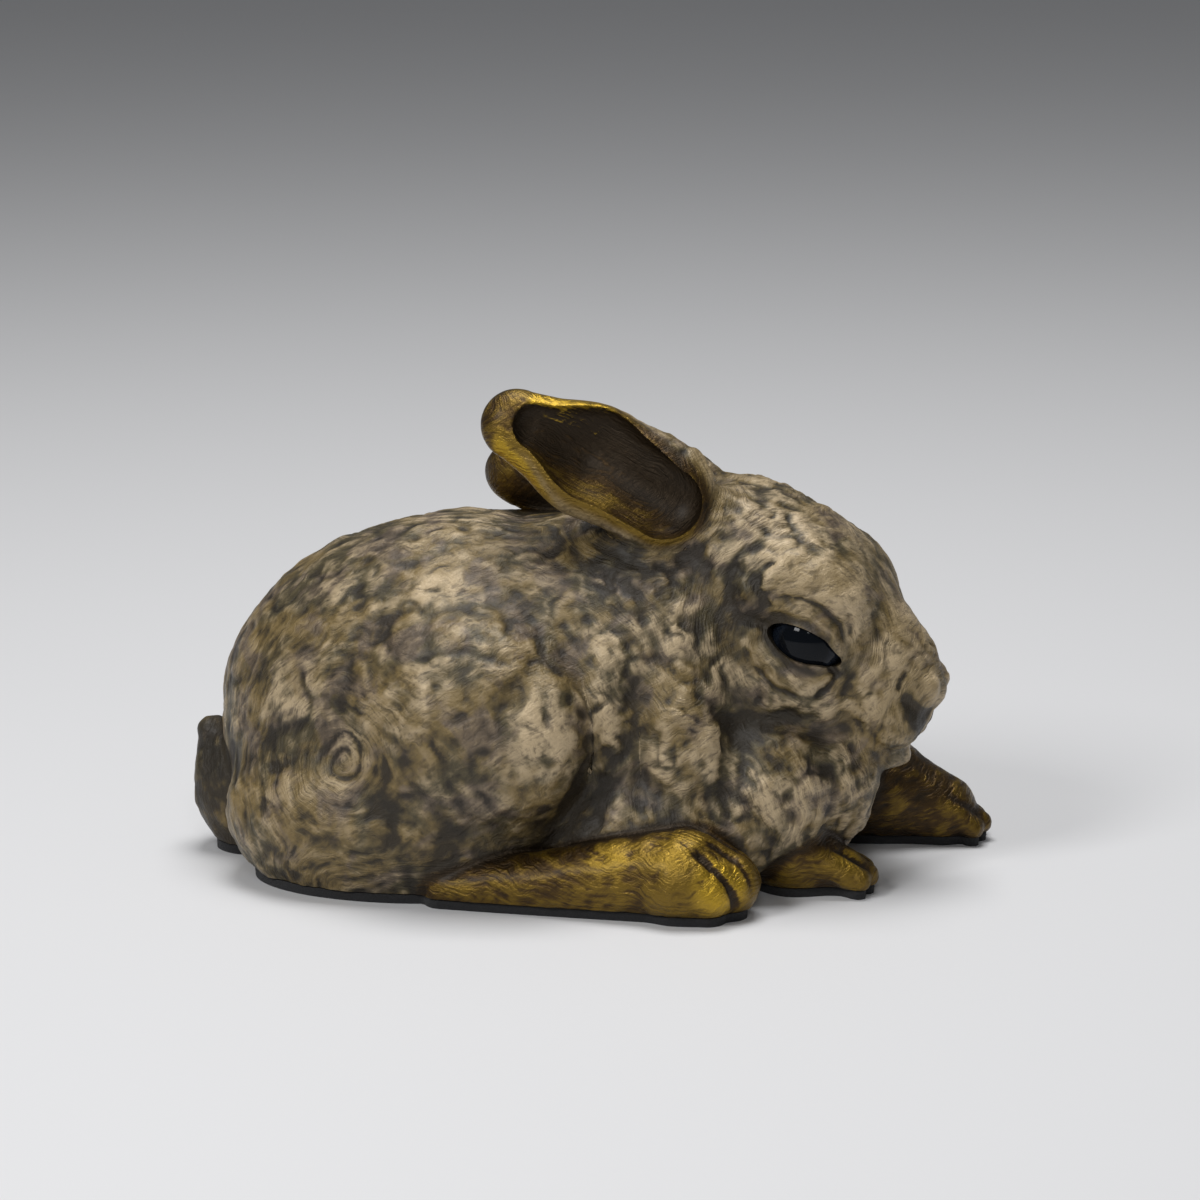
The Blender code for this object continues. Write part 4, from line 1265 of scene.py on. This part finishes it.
def pin_hole(pin):
    """A round hole for a pin, a gap wider than the pin all round."""
    points = places_of(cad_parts[pin].data) / MM - np.array(shift_of_frame()) / MM
    middle = points.mean(0)
    _, _, axes = np.linalg.svd(points - middle)
    along = (points - middle) @ axes[0]
    radius = np.linalg.norm(points - middle - along[:, None] * axes[0], axis=1).max()
    bm = bmesh.new()
    turn = Vector(axes[0]).to_track_quat("Z", "Y").to_matrix().to_4x4()
    bmesh.ops.create_cone(bm, cap_ends=True, segments=24, radius1=radius + GAP,
                          radius2=radius + GAP, depth=2 * (along.max() + GAP),
                          matrix=Matrix.Translation(middle) @ turn)
    return object_from("pin_hole", bm)


def finished(obj, node, finish):
    """Put a piece where the frame has its node, and give it its material."""
    mesh = obj.data
    mesh.transform(Matrix.Scale(MM, 4))
    mesh.transform(Matrix.Translation(shift_of_frame()))
    mesh.materials.clear()
    mesh.materials.append(finish)
    mesh.shade_smooth()
    mesh.set_sharp_from_angle(angle=math.radians(50))
    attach(obj, "root")
    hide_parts(node)
    return obj


def welded_piece(node, finish):
    """Finish a welded-on piece: its pin hole, masks and material."""
    skin = the_skin()
    obj = skin.welded.pop(node)
    combined(obj, pin_hole(node + "_pin"), "DIFFERENCE")
    skin.give_masks(obj.data)
    return finished(obj, node, finish)


def welded_pair(name):
    """Finish the right and left piece of a kind in one bronze."""
    slot = name + "_bronze"
    finish = bronze_material(slot)
    for side in (RIGHT, LEFT):
        welded_piece(SIDE_NAMES[side] + "_" + name, finish)
    return {"FINISHED"}


# Materials

class Graph:
    """Adds nodes to a tree; an input may be another node's output or a plain value."""

    def __init__(self, tree):
        self.tree = tree

    def add(self, kind, inputs=(), **settings):
        node = self.tree.nodes.new(kind)
        for name, value in settings.items():
            setattr(node, name, value)
        self.feed_all(node, dict(inputs))
        return node

    def feed_all(self, node, inputs):
        for socket, value in inputs.items():
            self.feed(node.inputs[socket], value)

    def feed(self, socket, value):
        if isinstance(value, bpy.types.NodeSocket):
            self.tree.links.new(value, socket)
        elif value is not None:
            socket.default_value = value

    def math(self, operation, a, b=None):
        return self.add("ShaderNodeMath", {0: a, 1: b}, operation=operation).outputs[0]

    def sum(self, *terms):
        """Adds up (value, weight) terms."""
        total = None
        for value, weight in terms:
            term = self.math("MULTIPLY", value, weight)
            total = term if total is None else self.math("ADD", total, term)
        return total

    def step(self, value, low, high, start=0.0, end=1.0):
        """A soft step from start to end as the value goes from low to high."""
        node = self.add("ShaderNodeMapRange",
                        {"Value": value, "From Min": low, "From Max": high, "To Min": start,
                         "To Max": end}, interpolation_type="SMOOTHSTEP")
        return node.outputs["Result"]

    def mix(self, share, a, b):
        return self.add("ShaderNodeMix", {0: share, 6: a, 7: b}, data_type="RGBA").outputs[2]

    def shift(self, colour, other, value, low, high, start=0.0, end=1.0):
        """One colour that turns into another as the value goes from low to high."""
        return self.mix(self.step(value, low, high, start, end), colour, other)

    def blend(self, share, a, b):
        return self.add("ShaderNodeMix", {0: share, 2: a, 3: b}, data_type="FLOAT").outputs[0]

    def bump(self, height, distance, strength=1.0):
        return self.add("ShaderNodeBump", {"Height": height, "Distance": distance,
                                           "Strength": strength}).outputs["Normal"]

    def noise(self, vector, scale, detail=2.0, roughness=0.5, distortion=0.0):
        """Noise around zero."""
        node = self.add("ShaderNodeTexNoise",
                        {"Vector": vector, "Scale": scale, "Detail": detail,
                         "Roughness": roughness, "Distortion": distortion})
        return self.math("SUBTRACT", node.outputs["Fac"], 0.5)

    def attribute(self, name):
        return self.add("ShaderNodeAttribute", attribute_name=name).outputs["Fac"]

    def millimetres(self):
        coords = self.add("ShaderNodeTexCoord").outputs["Object"]
        return self.add("ShaderNodeVectorMath", {0: coords, "Scale": 1.0 / MM},
                        operation="SCALE").outputs[0]

    def moved(self, vector, shift):
        return self.add("ShaderNodeVectorMath", {0: vector, 1: (shift,) * 3},
                        operation="ADD").outputs[0]

    def vector(self, x, y, z):
        return self.add("ShaderNodeCombineXYZ", {0: x, 1: y, 2: z}).outputs[0]


COLOUR, FLOAT = "NodeSocketColor", "NodeSocketFloat"


def shader_group(name, inputs, outputs):
    """An empty node group with these (name, kind) sockets; its graph, input and output nodes."""
    tree = bpy.data.node_groups.new(name, "ShaderNodeTree")
    for socket, kind in inputs:
        tree.interface.new_socket(socket, in_out="INPUT", socket_type=kind)
    for socket, kind in outputs:
        tree.interface.new_socket(socket, in_out="OUTPUT", socket_type=kind)
    graph = Graph(tree)
    return graph, graph.add("NodeGroupInput").outputs, graph.add("NodeGroupOutput").inputs


def fur_strokes_group():
    """Strokes that follow the lay of the fur, broad and fine, and a grit without direction."""
    found = bpy.data.node_groups.get("fur_strokes")
    if found:
        return found
    graph, given, out = shader_group(
        "fur_strokes", [("Width", FLOAT)],
        [("Broad", FLOAT), ("Fine", FLOAT), ("Grit", FLOAT)])
    place = graph.millimetres()
    bend = graph.sum((graph.noise(place, 0.08, 2.0), 7.0), (graph.noise(place, 0.4, 1.0), 1.2))
    lay = graph.math("ADD", graph.attribute("lay"), bend)
    lay = graph.math("DIVIDE", lay, given["Width"])
    x, y, z = graph.add("ShaderNodeSeparateXYZ", {0: place}).outputs
    u, v = graph.sum((x, 1.0), (y, 0.6)), graph.sum((z, 1.0), (y, -0.6))

    def strokes(fineness, breaks, detail):
        places = graph.vector(graph.math("MULTIPLY", lay, fineness),
                              graph.math("MULTIPLY", u, breaks), graph.math("MULTIPLY", v, breaks))
        return graph.noise(places, 1.0, detail, 0.65)

    across = graph.sum((z, 1.3), (x, -0.9), (y, 0.5), (bend, 0.6))
    hatch = graph.noise(graph.vector(across, graph.math("MULTIPLY", u, 0.25),
                                     graph.math("MULTIPLY", y, 0.25)), 1.0, 2.0, 0.65)
    graph.feed(out["Broad"], strokes(0.30, 0.10, 2.0))
    graph.feed(out["Fine"], graph.sum((strokes(1.1, 0.22, 2.0), 0.9), (hatch, 0.45)))
    graph.feed(out["Grit"], graph.noise(place, 1.1, 4.0, 0.7))
    return graph.tree


PATINA_COLOURS = ("Cream", "Ochre", "Olive", "Mauve", "Shadow", "Brown", "Gold")


def patina_group():
    """Mottled patina over dark bronze, with painted shade in the hollows and seams and the painted
    light and shade of the patches: colour, bare metal, roughness and height.
    """
    found = bpy.data.node_groups.get("patina")
    if found:
        return found
    graph, given, out = shader_group(
        "patina", [(name, COLOUR) for name in PATINA_COLOURS] + [("Stroke Width", FLOAT)],
        [("Color", COLOUR), ("Metal", FLOAT), ("Roughness", FLOAT), ("Height", FLOAT)])
    place = graph.millimetres()
    strokes = graph.add("ShaderNodeGroup", node_tree=fur_strokes_group())
    graph.feed(strokes.inputs["Width"], given["Stroke Width"])
    broad, fine, grit = strokes.outputs
    hollow, patina_and_painted_light = graph.attribute("hollow"), graph.attribute("patina_and_painted_light")
    seam, clump = graph.attribute("seam"), graph.attribute("tone")
    earth, rub = graph.attribute("earth"), graph.attribute("rub")
    blotch = graph.noise(place, 0.11, 3.0, 0.6, 0.4)
    warm = graph.noise(graph.moved(place, 37.0), 0.07, 3.0, 0.6, 0.5)
    cool = graph.noise(graph.moved(place, 91.0), 0.10, 3.0, 0.6, 0.5)

    hue = graph.sum((warm, 1.0), (clump, 0.04), (broad, 0.15))
    # The hollows, with the lines' darkening, and the fur seams darken the tone: dark patina in the
    # recesses and painted shade there.
    tone = graph.sum((broad, 0.9), (fine, 0.6), (blotch, 1.9), (grit, 0.3), (patina_and_painted_light, 0.45),
                     (hollow, -0.50), (clump, 0.08), (seam, -0.25))
    colour = graph.shift(given["Olive"], given["Ochre"], hue, -0.10, 0.10)
    colour = graph.shift(colour, given["Mauve"], cool, -0.02, 0.14, 0.0, 0.85)
    pale = graph.shift(given["Cream"], given["Ochre"], warm, -0.06, 0.12, 0.0, 0.55)
    colour = graph.shift(colour, pale, tone, -0.20, 0.82)
    streak = graph.step(graph.sum((fine, 1.0), (grit, 0.4)), 0.03, -0.20, 0.0, 0.45)
    dark = graph.math("MAXIMUM", streak, graph.step(tone, 0.08, -0.72, 0.0, 0.90))
    # Crevices and hollows turn to Shadow: dark patina and painted shade in the seams and recesses.
    crevice = graph.sum((seam, 0.5), (broad, 0.7), (grit, 0.4), (hollow, 0.25))
    dark = graph.math("MAXIMUM", dark, graph.step(crevice, 0.12, 0.85, 0.0, 0.75))
    dark = graph.math("MAXIMUM", dark, graph.step(hollow, 0.22, 1.1, 0.0, 0.90))
    colour = graph.mix(dark, colour, given["Shadow"])

    worn = graph.sum((broad, 0.8), (fine, 1.2), (blotch, 0.5), (hollow, -0.45), (patina_and_painted_light, 0.35))
    tan = graph.mix(0.33, given["Brown"], given["Gold"])
    brown = graph.shift(given["Brown"], tan, worn, -0.12, 0.45)
    dim = graph.mix(0.8, given["Brown"], given["Shadow"])
    brown = graph.shift(brown, dim, worn, 0.0, -0.5, 0.0, 0.9)
    colour = graph.mix(earth, colour, brown)
    streaky = graph.sum((fine, 1.6), (broad, 0.8), (grit, 0.5), (hollow, -0.5))
    glow = graph.math("MULTIPLY", rub, graph.step(streaky, -0.30, 0.45, 0.05, 1.0))
    bright = graph.step(glow, 0.08, 0.70)
    colour = graph.mix(bright, colour, given["Gold"])

    bare = graph.math("MAXIMUM", bright, graph.math("MULTIPLY", earth, 0.75))
    graph.feed(out["Color"], colour)
    graph.feed(out["Metal"], graph.blend(bare, 0.12, 0.9))
    rough = graph.sum((dark, 0.10), (grit, 0.12), (bare, -0.12))
    graph.feed(out["Roughness"], graph.math("ADD", rough, 0.42))
    height = graph.sum((broad, 0.5), (fine, 0.45), (grit, 0.2))
    graph.feed(out["Height"], height)
    return graph.tree


def new_material(name):
    """A material with its graph and its Principled shader."""
    made = bpy.data.materials.new(name)
    made.use_nodes = True
    return made, Graph(made.node_tree), made.node_tree.nodes["Principled BSDF"]


def bronze_material(slot):
    """Patinated bronze for one of the record's slots."""
    made, graph, shader = new_material("patinated_" + slot)
    patina = bpy.context.scene.rabbit_patina
    group = graph.add("ShaderNodeGroup", node_tree=patina_group())
    graph.feed_all(group, {name: (*getattr(patina, name.lower()), 1.0)
                           for name in PATINA_COLOURS})
    graph.feed_all(group, {"Stroke Width": patina.stroke_width / MM})
    graph.feed_all(shader, {
        "Base Color": group.outputs["Color"], "Metallic": group.outputs["Metal"],
        "Roughness": group.outputs["Roughness"], "Normal": graph.bump(group.outputs["Height"], MM),
        "Specular IOR Level": 0.35, "Coat Weight": 0.12, "Coat Roughness": 0.35})
    return made


def glass_material():
    """Dark glass with a faint iris, drawn by the angle from the eye's middle."""
    made, graph, shader = new_material("polished_eye_glass")
    glass = (*bpy.context.scene.rabbit_patina.glass, 1.0)
    ring = graph.attribute("ring")
    fibre = graph.noise(graph.millimetres(), 2.2, 2.0)
    iris = graph.shift((0.004, 0.006, 0.010, 1.0), (0.010, 0.013, 0.019, 1.0), fibre, -0.2, 0.2)
    share = graph.math("MULTIPLY", graph.step(ring, 0.42, 0.52), graph.step(ring, 0.95, 0.75))
    graph.feed_all(shader, {"Base Color": graph.mix(share, glass, iris), "Metallic": 0.0,
                            "Roughness": 0.06, "Specular IOR Level": 0.15})
    return made


def felt_material():
    """Black wool felt: matted fibres with a soft sheen."""
    made, graph, shader = new_material("wool_felt")
    dark, light = ((*(share * part for part in bpy.context.scene.rabbit_patina.felt), 1.0)
                   for share in (0.5, 2.2))
    place = graph.millimetres()
    mat = graph.noise(place, 3.0, 4.0, 0.7, 1.5)
    fleck = graph.noise(graph.moved(place, 13.0), 0.8, 2.0)
    graph.feed_all(shader, {
        "Base Color": graph.shift(dark, light, mat, -0.2, 0.25),
        "Roughness": graph.math("ADD", graph.math("MULTIPLY", fleck, 0.1), 0.93),
        "Normal": graph.bump(mat, 0.3 * MM, 0.8), "Sheen Weight": 0.08, "Sheen Roughness": 0.5})
    return made


def rod_material():
    """Drawn bronze rod with fine scratches and a little tarnish."""
    made, graph, shader = new_material("drawn_bronze")
    bare, tarnished = ((*(share * part for part in bpy.context.scene.rabbit_patina.rod), 1.0)
                       for share in (1.0, 0.6))
    place = graph.millimetres()
    scratch = graph.noise(place, 4.0, 3.0, 0.6, 0.5)
    tarnish = graph.noise(graph.moved(place, 5.0), 0.5, 2.0)
    graph.feed_all(shader, {
        "Base Color": graph.shift(bare, tarnished, tarnish, -0.1, 0.2), "Metallic": 1.0,
        "Roughness": graph.math("ADD", graph.math("MULTIPLY", scratch, 0.4), 0.42),
        "Normal": graph.bump(scratch, 0.05 * MM, 0.5)})
    return made


# Pieces

def eye_opening(side):
    """Cutter for an almond opening between the lids, its inner corner drawn down."""
    head = head_clay()
    axes = head.axes @ turned(pitch=EYE_PITCH)
    middle = head.point(eye_middle(side))
    half = EYE_OPENING_LENGTH / 2
    upper, lower = EYE_OPENING_HEIGHT * 0.54, EYE_OPENING_HEIGHT * 0.46
    steps = 48
    outline = []
    for i in range(steps):
        turn = 2 * math.pi * i / steps
        x, z = math.cos(turn), math.sin(turn)
        bulge = abs(z) ** 1.15
        reach = 1.0 + 0.10 * faded(np.array(x), 0.6, 1.0)
        outline.append((half * x * reach + 0.4,
                        (upper if z > 0 else -lower) * bulge - 1.2 * faded(np.array(x), 0.5, 1.0)))
    bm = bmesh.new()
    rings = []
    for depth, grow in ((0.0, 0.9), (EYE_RADIUS + 6, 1.08)):
        rings.append([bm.verts.new(middle + axes @ np.array((x * grow, side * depth, z * grow)))
                      for x, z in outline])
    for i in range(steps):
        j = (i + 1) % steps
        bm.faces.new((rings[0][i], rings[0][j], rings[1][j], rings[1][i]))
    bm.faces.new(rings[0])
    bm.faces.new(rings[1])
    bmesh.ops.recalc_face_normals(bm, faces=bm.faces[:])
    return object_from("eye_opening", bm)


def eye_ball(name, side, radius, segments):
    """A ball in an eye socket, its poles on the line that the eye looks along."""
    head = head_clay()
    bm = bmesh.new()
    poles = Matrix.Rotation(math.radians(90), 4, "X")
    place = placed(head.point(eye_middle(side)), head.axes)
    bmesh.ops.create_uvsphere(bm, u_segments=segments, v_segments=segments // 2, radius=radius,
                              matrix=place @ poles)
    bmesh.ops.recalc_face_normals(bm, faces=bm.faces[:])
    return object_from(name, bm)


def mark_rings(obj, side):
    """Note how far each vertex of an eye lies from where the eye looks: 0 ahead, 1 at the side."""
    head = head_clay()
    points = places_of(obj.data) - head.point(eye_middle(side))
    gaze = head.axes @ np.array((0.12, side, -0.02))
    gaze /= np.linalg.norm(gaze)
    turn = np.arccos(np.clip((points / np.linalg.norm(points, axis=1)[:, None]) @ gaze, -1, 1))
    mark(obj.data, "ring", turn / (0.5 * math.pi))


class RABBIT_OT_body(bpy.types.Operator):
    """Make the hollow body casting with its eye sockets and seats"""
    bl_idname = "rabbit.body"
    bl_label = "Body Casting"

    def execute(self, context):
        skin = the_skin()
        obj = copy_of(skin.obj, "body_bronze")
        cutter = clay_object("core", core_clay(), CORE_VOXEL)
        for node in welded_clays():
            combined(cutter, pin_hole(node + "_pin"), "UNION")
        for side in (RIGHT, LEFT):
            socket = eye_ball("socket", side, EYE_RADIUS + SOCKET_GAP, SOCKET_SEGMENTS)
            combined(cutter, socket, "UNION")
            combined(cutter, eye_opening(side), "UNION")
        combined(obj, cutter, "DIFFERENCE")
        skin.give_masks(obj.data)
        finished(obj, "body_casting", bronze_material("body_bronze"))
        return {"FINISHED"}


class RABBIT_OT_ears(bpy.types.Operator):
    """Make the two ears with their cups and rolled rims"""
    bl_idname = "rabbit.ears"
    bl_label = "Ears"

    def execute(self, context):
        return welded_pair("ear")


class RABBIT_OT_forepaws(bpy.types.Operator):
    """Make the two forepaws"""
    bl_idname = "rabbit.forepaws"
    bl_label = "Forepaws"

    def execute(self, context):
        return welded_pair("forepaw")


class RABBIT_OT_hind_feet(bpy.types.Operator):
    """Make the two hind feet"""
    bl_idname = "rabbit.hind_feet"
    bl_label = "Hind Feet"

    def execute(self, context):
        return welded_pair("hind_foot")


class RABBIT_OT_tail(bpy.types.Operator):
    """Make the tail"""
    bl_idname = "rabbit.tail"
    bl_label = "Tail"

    def execute(self, context):
        welded_piece("tail", bronze_material("tail_bronze"))
        return {"FINISHED"}


class RABBIT_OT_eyes(bpy.types.Operator):
    """Make the two glass eyes"""
    bl_idname = "rabbit.eyes"
    bl_label = "Eyes"

    def execute(self, context):
        finish = glass_material()
        for side in (RIGHT, LEFT):
            node = SIDE_NAMES[side] + "_eye"
            obj = eye_ball(node + "_glass", side, EYE_RADIUS, EYE_SEGMENTS)
            mark_rings(obj, side)
            finished(obj, node, finish)
        return {"FINISHED"}


class RABBIT_OT_pins(bpy.types.Operator):
    """Give the dowel pins, which stay as they are, their drawn bronze"""
    bl_idname = "rabbit.pins"
    bl_label = "Pins"

    def execute(self, context):
        finish = rod_material()
        for name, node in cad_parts.items():
            if name.endswith("_pin"):
                node.data.materials.clear()
                node.data.materials.append(finish)
        return {"FINISHED"}


class RABBIT_OT_felt(bpy.types.Operator):
    """Give the felt its matted surface, and set a nap of fibres along its edge"""
    bl_idname = "rabbit.felt"
    bl_label = "Base Felt"

    def execute(self, context):
        finish = felt_material()
        felt = finished(felt_sheet(), "base_felt", finish)
        nap = felt_nap(felt, finish, context.scene.rabbit_form)
        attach(nap, "root")
        return {"FINISHED"}


def nap_tree():
    """Geometry nodes that set small bent fibres on a surface, along its normals."""
    tree = bpy.data.node_groups.new("felt_nap", "GeometryNodeTree")
    for name, kind in (("Surface", "NodeSocketGeometry"), ("Count per Area", FLOAT),
                       ("Length", FLOAT), ("Thickness", FLOAT), ("Lowest", FLOAT),
                       ("Seed", "NodeSocketInt"), ("Finish", "NodeSocketMaterial")):
        tree.interface.new_socket(name, in_out="INPUT", socket_type=kind)
    tree.interface.new_socket("Nap", in_out="OUTPUT", socket_type="NodeSocketGeometry")
    graph = Graph(tree)
    given, out = graph.add("NodeGroupInput").outputs, graph.add("NodeGroupOutput").inputs
    height = graph.add("ShaderNodeSeparateXYZ", {
        0: graph.add("GeometryNodeInputPosition").outputs[0]}).outputs[2]
    spread = graph.add("GeometryNodeDistributePointsOnFaces", {
        "Mesh": given["Surface"], "Density": given["Count per Area"], "Seed": given["Seed"]})
    fibre = graph.add("GeometryNodeMeshCone", {
        "Vertices": 4, "Side Segments": 1, "Radius Top": 0.0, "Radius Bottom": given["Thickness"],
        "Depth": given["Length"]})
    lean = graph.add("FunctionNodeRandomValue", {
        0: (-0.9, -0.9, -3.1), 1: (0.9, 0.9, 3.1), "Seed": given["Seed"]},
        data_type="FLOAT_VECTOR")
    turn = graph.add("FunctionNodeRotateRotation", {
        "Rotation": spread.outputs["Rotation"], "Rotate By": lean.outputs[0]},
        rotation_space="LOCAL")
    size = graph.add("FunctionNodeRandomValue", {2: 0.5, 3: 1.0, "Seed": given["Seed"]},
                     data_type="FLOAT")
    planted = graph.add("GeometryNodeInstanceOnPoints", {
        "Points": spread.outputs["Points"], "Instance": fibre.outputs["Mesh"],
        "Selection": graph.math("GREATER_THAN", height, given["Lowest"]),
        "Rotation": turn.outputs[0], "Scale": size.outputs[1]})
    real = graph.add("GeometryNodeRealizeInstances", {"Geometry": planted.outputs[0]})
    dressed = graph.add("GeometryNodeSetMaterial", {
        "Geometry": real.outputs[0], "Material": given["Finish"]})
    graph.feed(out["Nap"], dressed.outputs[0])
    return tree


def felt_nap(felt, finish, form):
    """Fibres on the felt's edge, as one mesh."""
    bm = bmesh.new()
    bm.from_mesh(felt.data)
    bmesh.ops.remove_doubles(bm, verts=bm.verts, dist=1e-7)
    flat = [face for face in bm.faces if abs(face.normal.z) > 0.5]
    bmesh.ops.delete(bm, geom=flat, context="FACES")
    area = sum(face.calc_area() for face in bm.faces)
    obj = object_from("felt_nap", bm)
    modifier = obj.modifiers.new("nap", "NODES")
    tree = nap_tree()
    values = {"Count per Area": form.nap_count / area, "Length": form.nap_length,
              "Thickness": 0.04 * MM, "Lowest": 1.2 * form.nap_length, "Seed": 7,
              "Finish": finish}
    modifier.node_group = tree
    for item in tree.interface.items_tree:
        if item.in_out == "INPUT" and item.name in values:
            modifier[item.identifier] = values[item.name]
    return evaluated(obj)


class RABBIT_OT_stage(bpy.types.Operator):
    """Set up the pale floor, the soft lamps and the camera"""
    bl_idname = "rabbit.stage"
    bl_label = "Stage"

    def execute(self, context):
        settings = context.scene.rabbit_stage
        make_floor(settings)
        make_world()
        make_lamps()
        make_camera(settings)
        context.scene.view_settings.view_transform = "Standard"
        return {"FINISHED"}


def make_floor(settings):
    bm = bmesh.new()
    bmesh.ops.create_grid(bm, x_segments=8, y_segments=8, size=6.0)
    floor = object_from("floor", bm)
    made, graph, shader = new_material("pale_floor")
    cloud = graph.noise(graph.add("ShaderNodeTexCoord").outputs["Object"], 3.0, 3.0)
    pale = (*settings.floor, 1.0)
    cloudy = graph.shift(pale, (0.6, 0.6, 0.62, 1.0), cloud, -0.2, 0.2, 0.0, 0.03)
    graph.feed_all(shader, {"Base Color": cloudy, "Roughness": 0.55, "Specular IOR Level": 0.25})
    floor.data.materials.append(made)
    floor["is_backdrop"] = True


def make_world():
    world = bpy.data.worlds.new("studio")
    bpy.context.scene.world = world
    world.use_nodes = True
    background = world.node_tree.nodes["Background"]
    background.inputs["Color"].default_value = (0.90, 0.92, 0.95, 1.0)
    background.inputs["Strength"].default_value = 0.15


# Place, side in metres and power in watts
LAMPS = (
    ("left_softbox", (-0.62, -0.85, 0.85), 0.36, 6.8),
    ("front_softbox", (0.16, -1.05, 0.72), 0.25, 1.7),
    ("top_softbox", (0.00, 0.12, 1.10), 0.55, 8.5),
)


def make_lamps():
    """Soft boxes aimed at the figure."""
    for name, place, size, power in LAMPS:
        lamp = bpy.data.lights.new(name, "AREA")
        lamp.shape = "SQUARE"
        lamp.size = size
        lamp.energy = power
        obj = new_object(name, lamp)
        obj.location = place
        aim = Vector((0, 0, 0.05)) - obj.location
        obj.rotation_euler = aim.to_track_quat("-Z", "Y").to_euler()


def make_camera(settings):
    camera = bpy.data.cameras.new("camera")
    obj = new_object("camera", camera)
    a, e = settings.azimuth, settings.elevation
    ahead = Vector((math.sin(a) * math.cos(e), math.cos(a) * math.cos(e), -math.sin(e)))
    target = Vector(VIEW_MIDDLE) * MM + shift_of_frame()
    obj.location = target - ahead * settings.distance
    obj.rotation_euler = ahead.to_track_quat("-Z", "Y").to_euler()
    camera.sensor_width = 36.0
    camera.lens = camera.sensor_width * settings.distance / settings.view_width
    camera.clip_end = 50.0
    bpy.context.scene.camera = obj


OPERATORS = (RABBIT_OT_body, RABBIT_OT_ears, RABBIT_OT_forepaws, RABBIT_OT_hind_feet,
             RABBIT_OT_tail, RABBIT_OT_eyes, RABBIT_OT_pins, RABBIT_OT_felt, RABBIT_OT_stage)


class RABBIT_PT_panel(bpy.types.Panel):
    """Lists the settings and the pieces"""
    bl_idname = "RABBIT_PT_panel"
    bl_label = "Bronze Rabbit"
    bl_space_type = "VIEW_3D"
    bl_region_type = "UI"
    bl_category = "Rabbit"

    def draw(self, context):
        scene = context.scene
        for settings in (scene.rabbit_form, scene.rabbit_patina, scene.rabbit_stage):
            box = self.layout.box()
            for name in settings.bl_rna.properties.keys():
                if name not in ("rna_type", "name"):
                    box.prop(settings, name)
        column = self.layout.column()
        for operator in OPERATORS:
            column.operator(operator.bl_idname)


SETTINGS = {"rabbit_form": RabbitFormSettings, "rabbit_patina": RabbitPatinaSettings,
            "rabbit_stage": RabbitStageSettings}
CLASSES = (*SETTINGS.values(), *OPERATORS, RABBIT_PT_panel)


def register():
    for cls in CLASSES:
        bpy.utils.register_class(cls)
    for name, group in SETTINGS.items():
        setattr(bpy.types.Scene, name, PointerProperty(type=group))


def unregister():
    for name in SETTINGS:
        delattr(bpy.types.Scene, name)
    for cls in reversed(CLASSES):
        bpy.utils.unregister_class(cls)


def main():
    register()
    bpy.ops.rabbit.body()
    bpy.ops.rabbit.ears()
    bpy.ops.rabbit.forepaws()
    bpy.ops.rabbit.hind_feet()
    bpy.ops.rabbit.tail()
    bpy.ops.rabbit.eyes()
    bpy.ops.rabbit.pins()
    bpy.ops.rabbit.felt()
    bpy.ops.rabbit.stage()
    the_skin().remove()
    sizes = {name: [list(corner) for corner in box]
             for name, box in (("cad", cad_box), ("visual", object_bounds()))}


if __name__ == "__main__":
    main()
